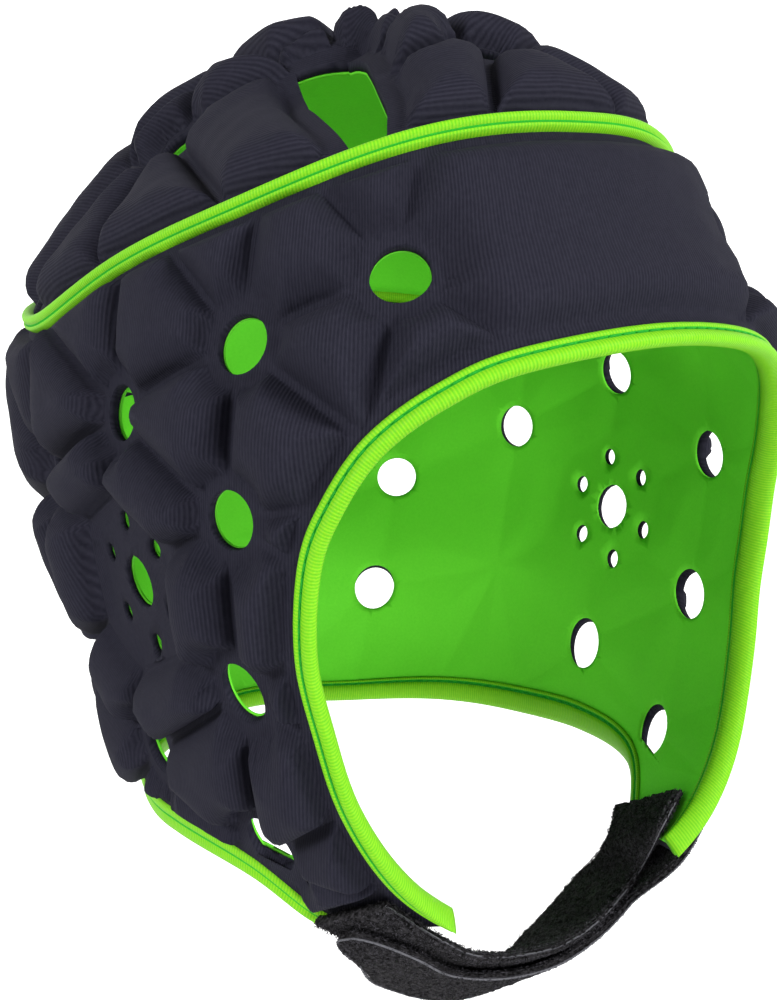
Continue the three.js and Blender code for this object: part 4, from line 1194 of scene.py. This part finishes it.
white = bpy.data.materials.new("studio_white")
white.use_nodes = True
white_nodes, white_links = white.node_tree.nodes, white.node_tree.links
white_shader = white_nodes["Principled BSDF"]
white_shader.inputs["Base Color"].default_value = (ROOM_GREY, ROOM_GREY, ROOM_GREY, 1)
white_shader.inputs["Roughness"].default_value = 0.9
white_shader.inputs["Emission Color"].default_value = (1, 1, 1, 1)
spot = white_nodes.new("ShaderNodeTexCoord")
behind = white_nodes.new("ShaderNodeVectorMath")
behind.operation = "DOT_PRODUCT"
behind.inputs[1].default_value = GLOW_WAY
glow = white_nodes.new("ShaderNodeMapRange")
glow.inputs["From Min"].default_value = GLOW_FROM[0]
glow.inputs["From Max"].default_value = GLOW_FROM[1]
glow.inputs["To Min"].default_value = GLOW_TO[0]
glow.inputs["To Max"].default_value = GLOW_TO[1]
white_links.new(spot.outputs["Object"], behind.inputs[0])
white_links.new(behind.outputs["Value"], glow.inputs["Value"])
white_links.new(glow.outputs["Result"], white_shader.inputs["Emission Strength"])
floor.data.materials.append(white)

world = bpy.data.worlds.new("studio")
bpy.context.scene.world = world
world.use_nodes = True
world.node_tree.nodes["Background"].inputs["Color"].default_value = (1, 1, 1, 1)
world.node_tree.nodes["Background"].inputs["Strength"].default_value = WORLD_LIGHT
print("room: %d faces, %.1f m across" % (len(room_faces), 2 * (FLOOR_RADIUS + BEND_RADIUS)))

# %% [markdown]
# ## Lamps
# Three round lamps light the cap from the front right, from the left and into the face opening.
# They are wide, so that the shadows stay soft.

# %% Lamps
HEAD, FACE = (0, 0, -0.1), (0.03, 0.05, -0.12)
LAMPS = {  # place, aim, size, power
    "key": ((0.6, -1.1, 0.9), HEAD, 0.5, 36),
    "side": ((-1.3, 0.1, 0.5), HEAD, 0.5, 28),
    "inside": ((-0.2, -1.2, -0.25), FACE, 0.4, 14),
}
for name, (spot, aim, size, power) in LAMPS.items():
    data = bpy.data.lights.new(name, "AREA")
    data.shape = "DISK"
    data.size = size
    data.energy = power
    lamp = bpy.data.objects.new(name, data)
    lamp.location = spot
    lamp.rotation_euler = (Vector(aim) - Vector(spot)).to_track_quat("-Z", "Y").to_euler()
    bpy.context.scene.collection.objects.link(lamp)
print("lamps:", ", ".join(LAMPS))

# %% [markdown]
# ## Camera
# The photo's own camera, worked out from the vents and ear holes that show on both sides.

# %% Camera
CAMERA_PLACE = (-0.21857, -0.31823, -0.03334)
CAMERA_DIP, CAMERA_TURN, CAMERA_LENS, NEAREST = 11.458396, -34.43525, 53.14, 0.01

camera = bpy.data.objects.new("camera", bpy.data.cameras.new("camera"))
camera.location = CAMERA_PLACE
camera.rotation_euler = (math.radians(90 - CAMERA_DIP), 0, math.radians(CAMERA_TURN))
camera.data.lens = CAMERA_LENS
camera.data.clip_start = NEAREST
bpy.context.scene.collection.objects.link(camera)
bpy.context.scene.camera = camera
bpy.context.scene.view_settings.view_transform = "Standard"
print("camera at", CAMERA_PLACE)
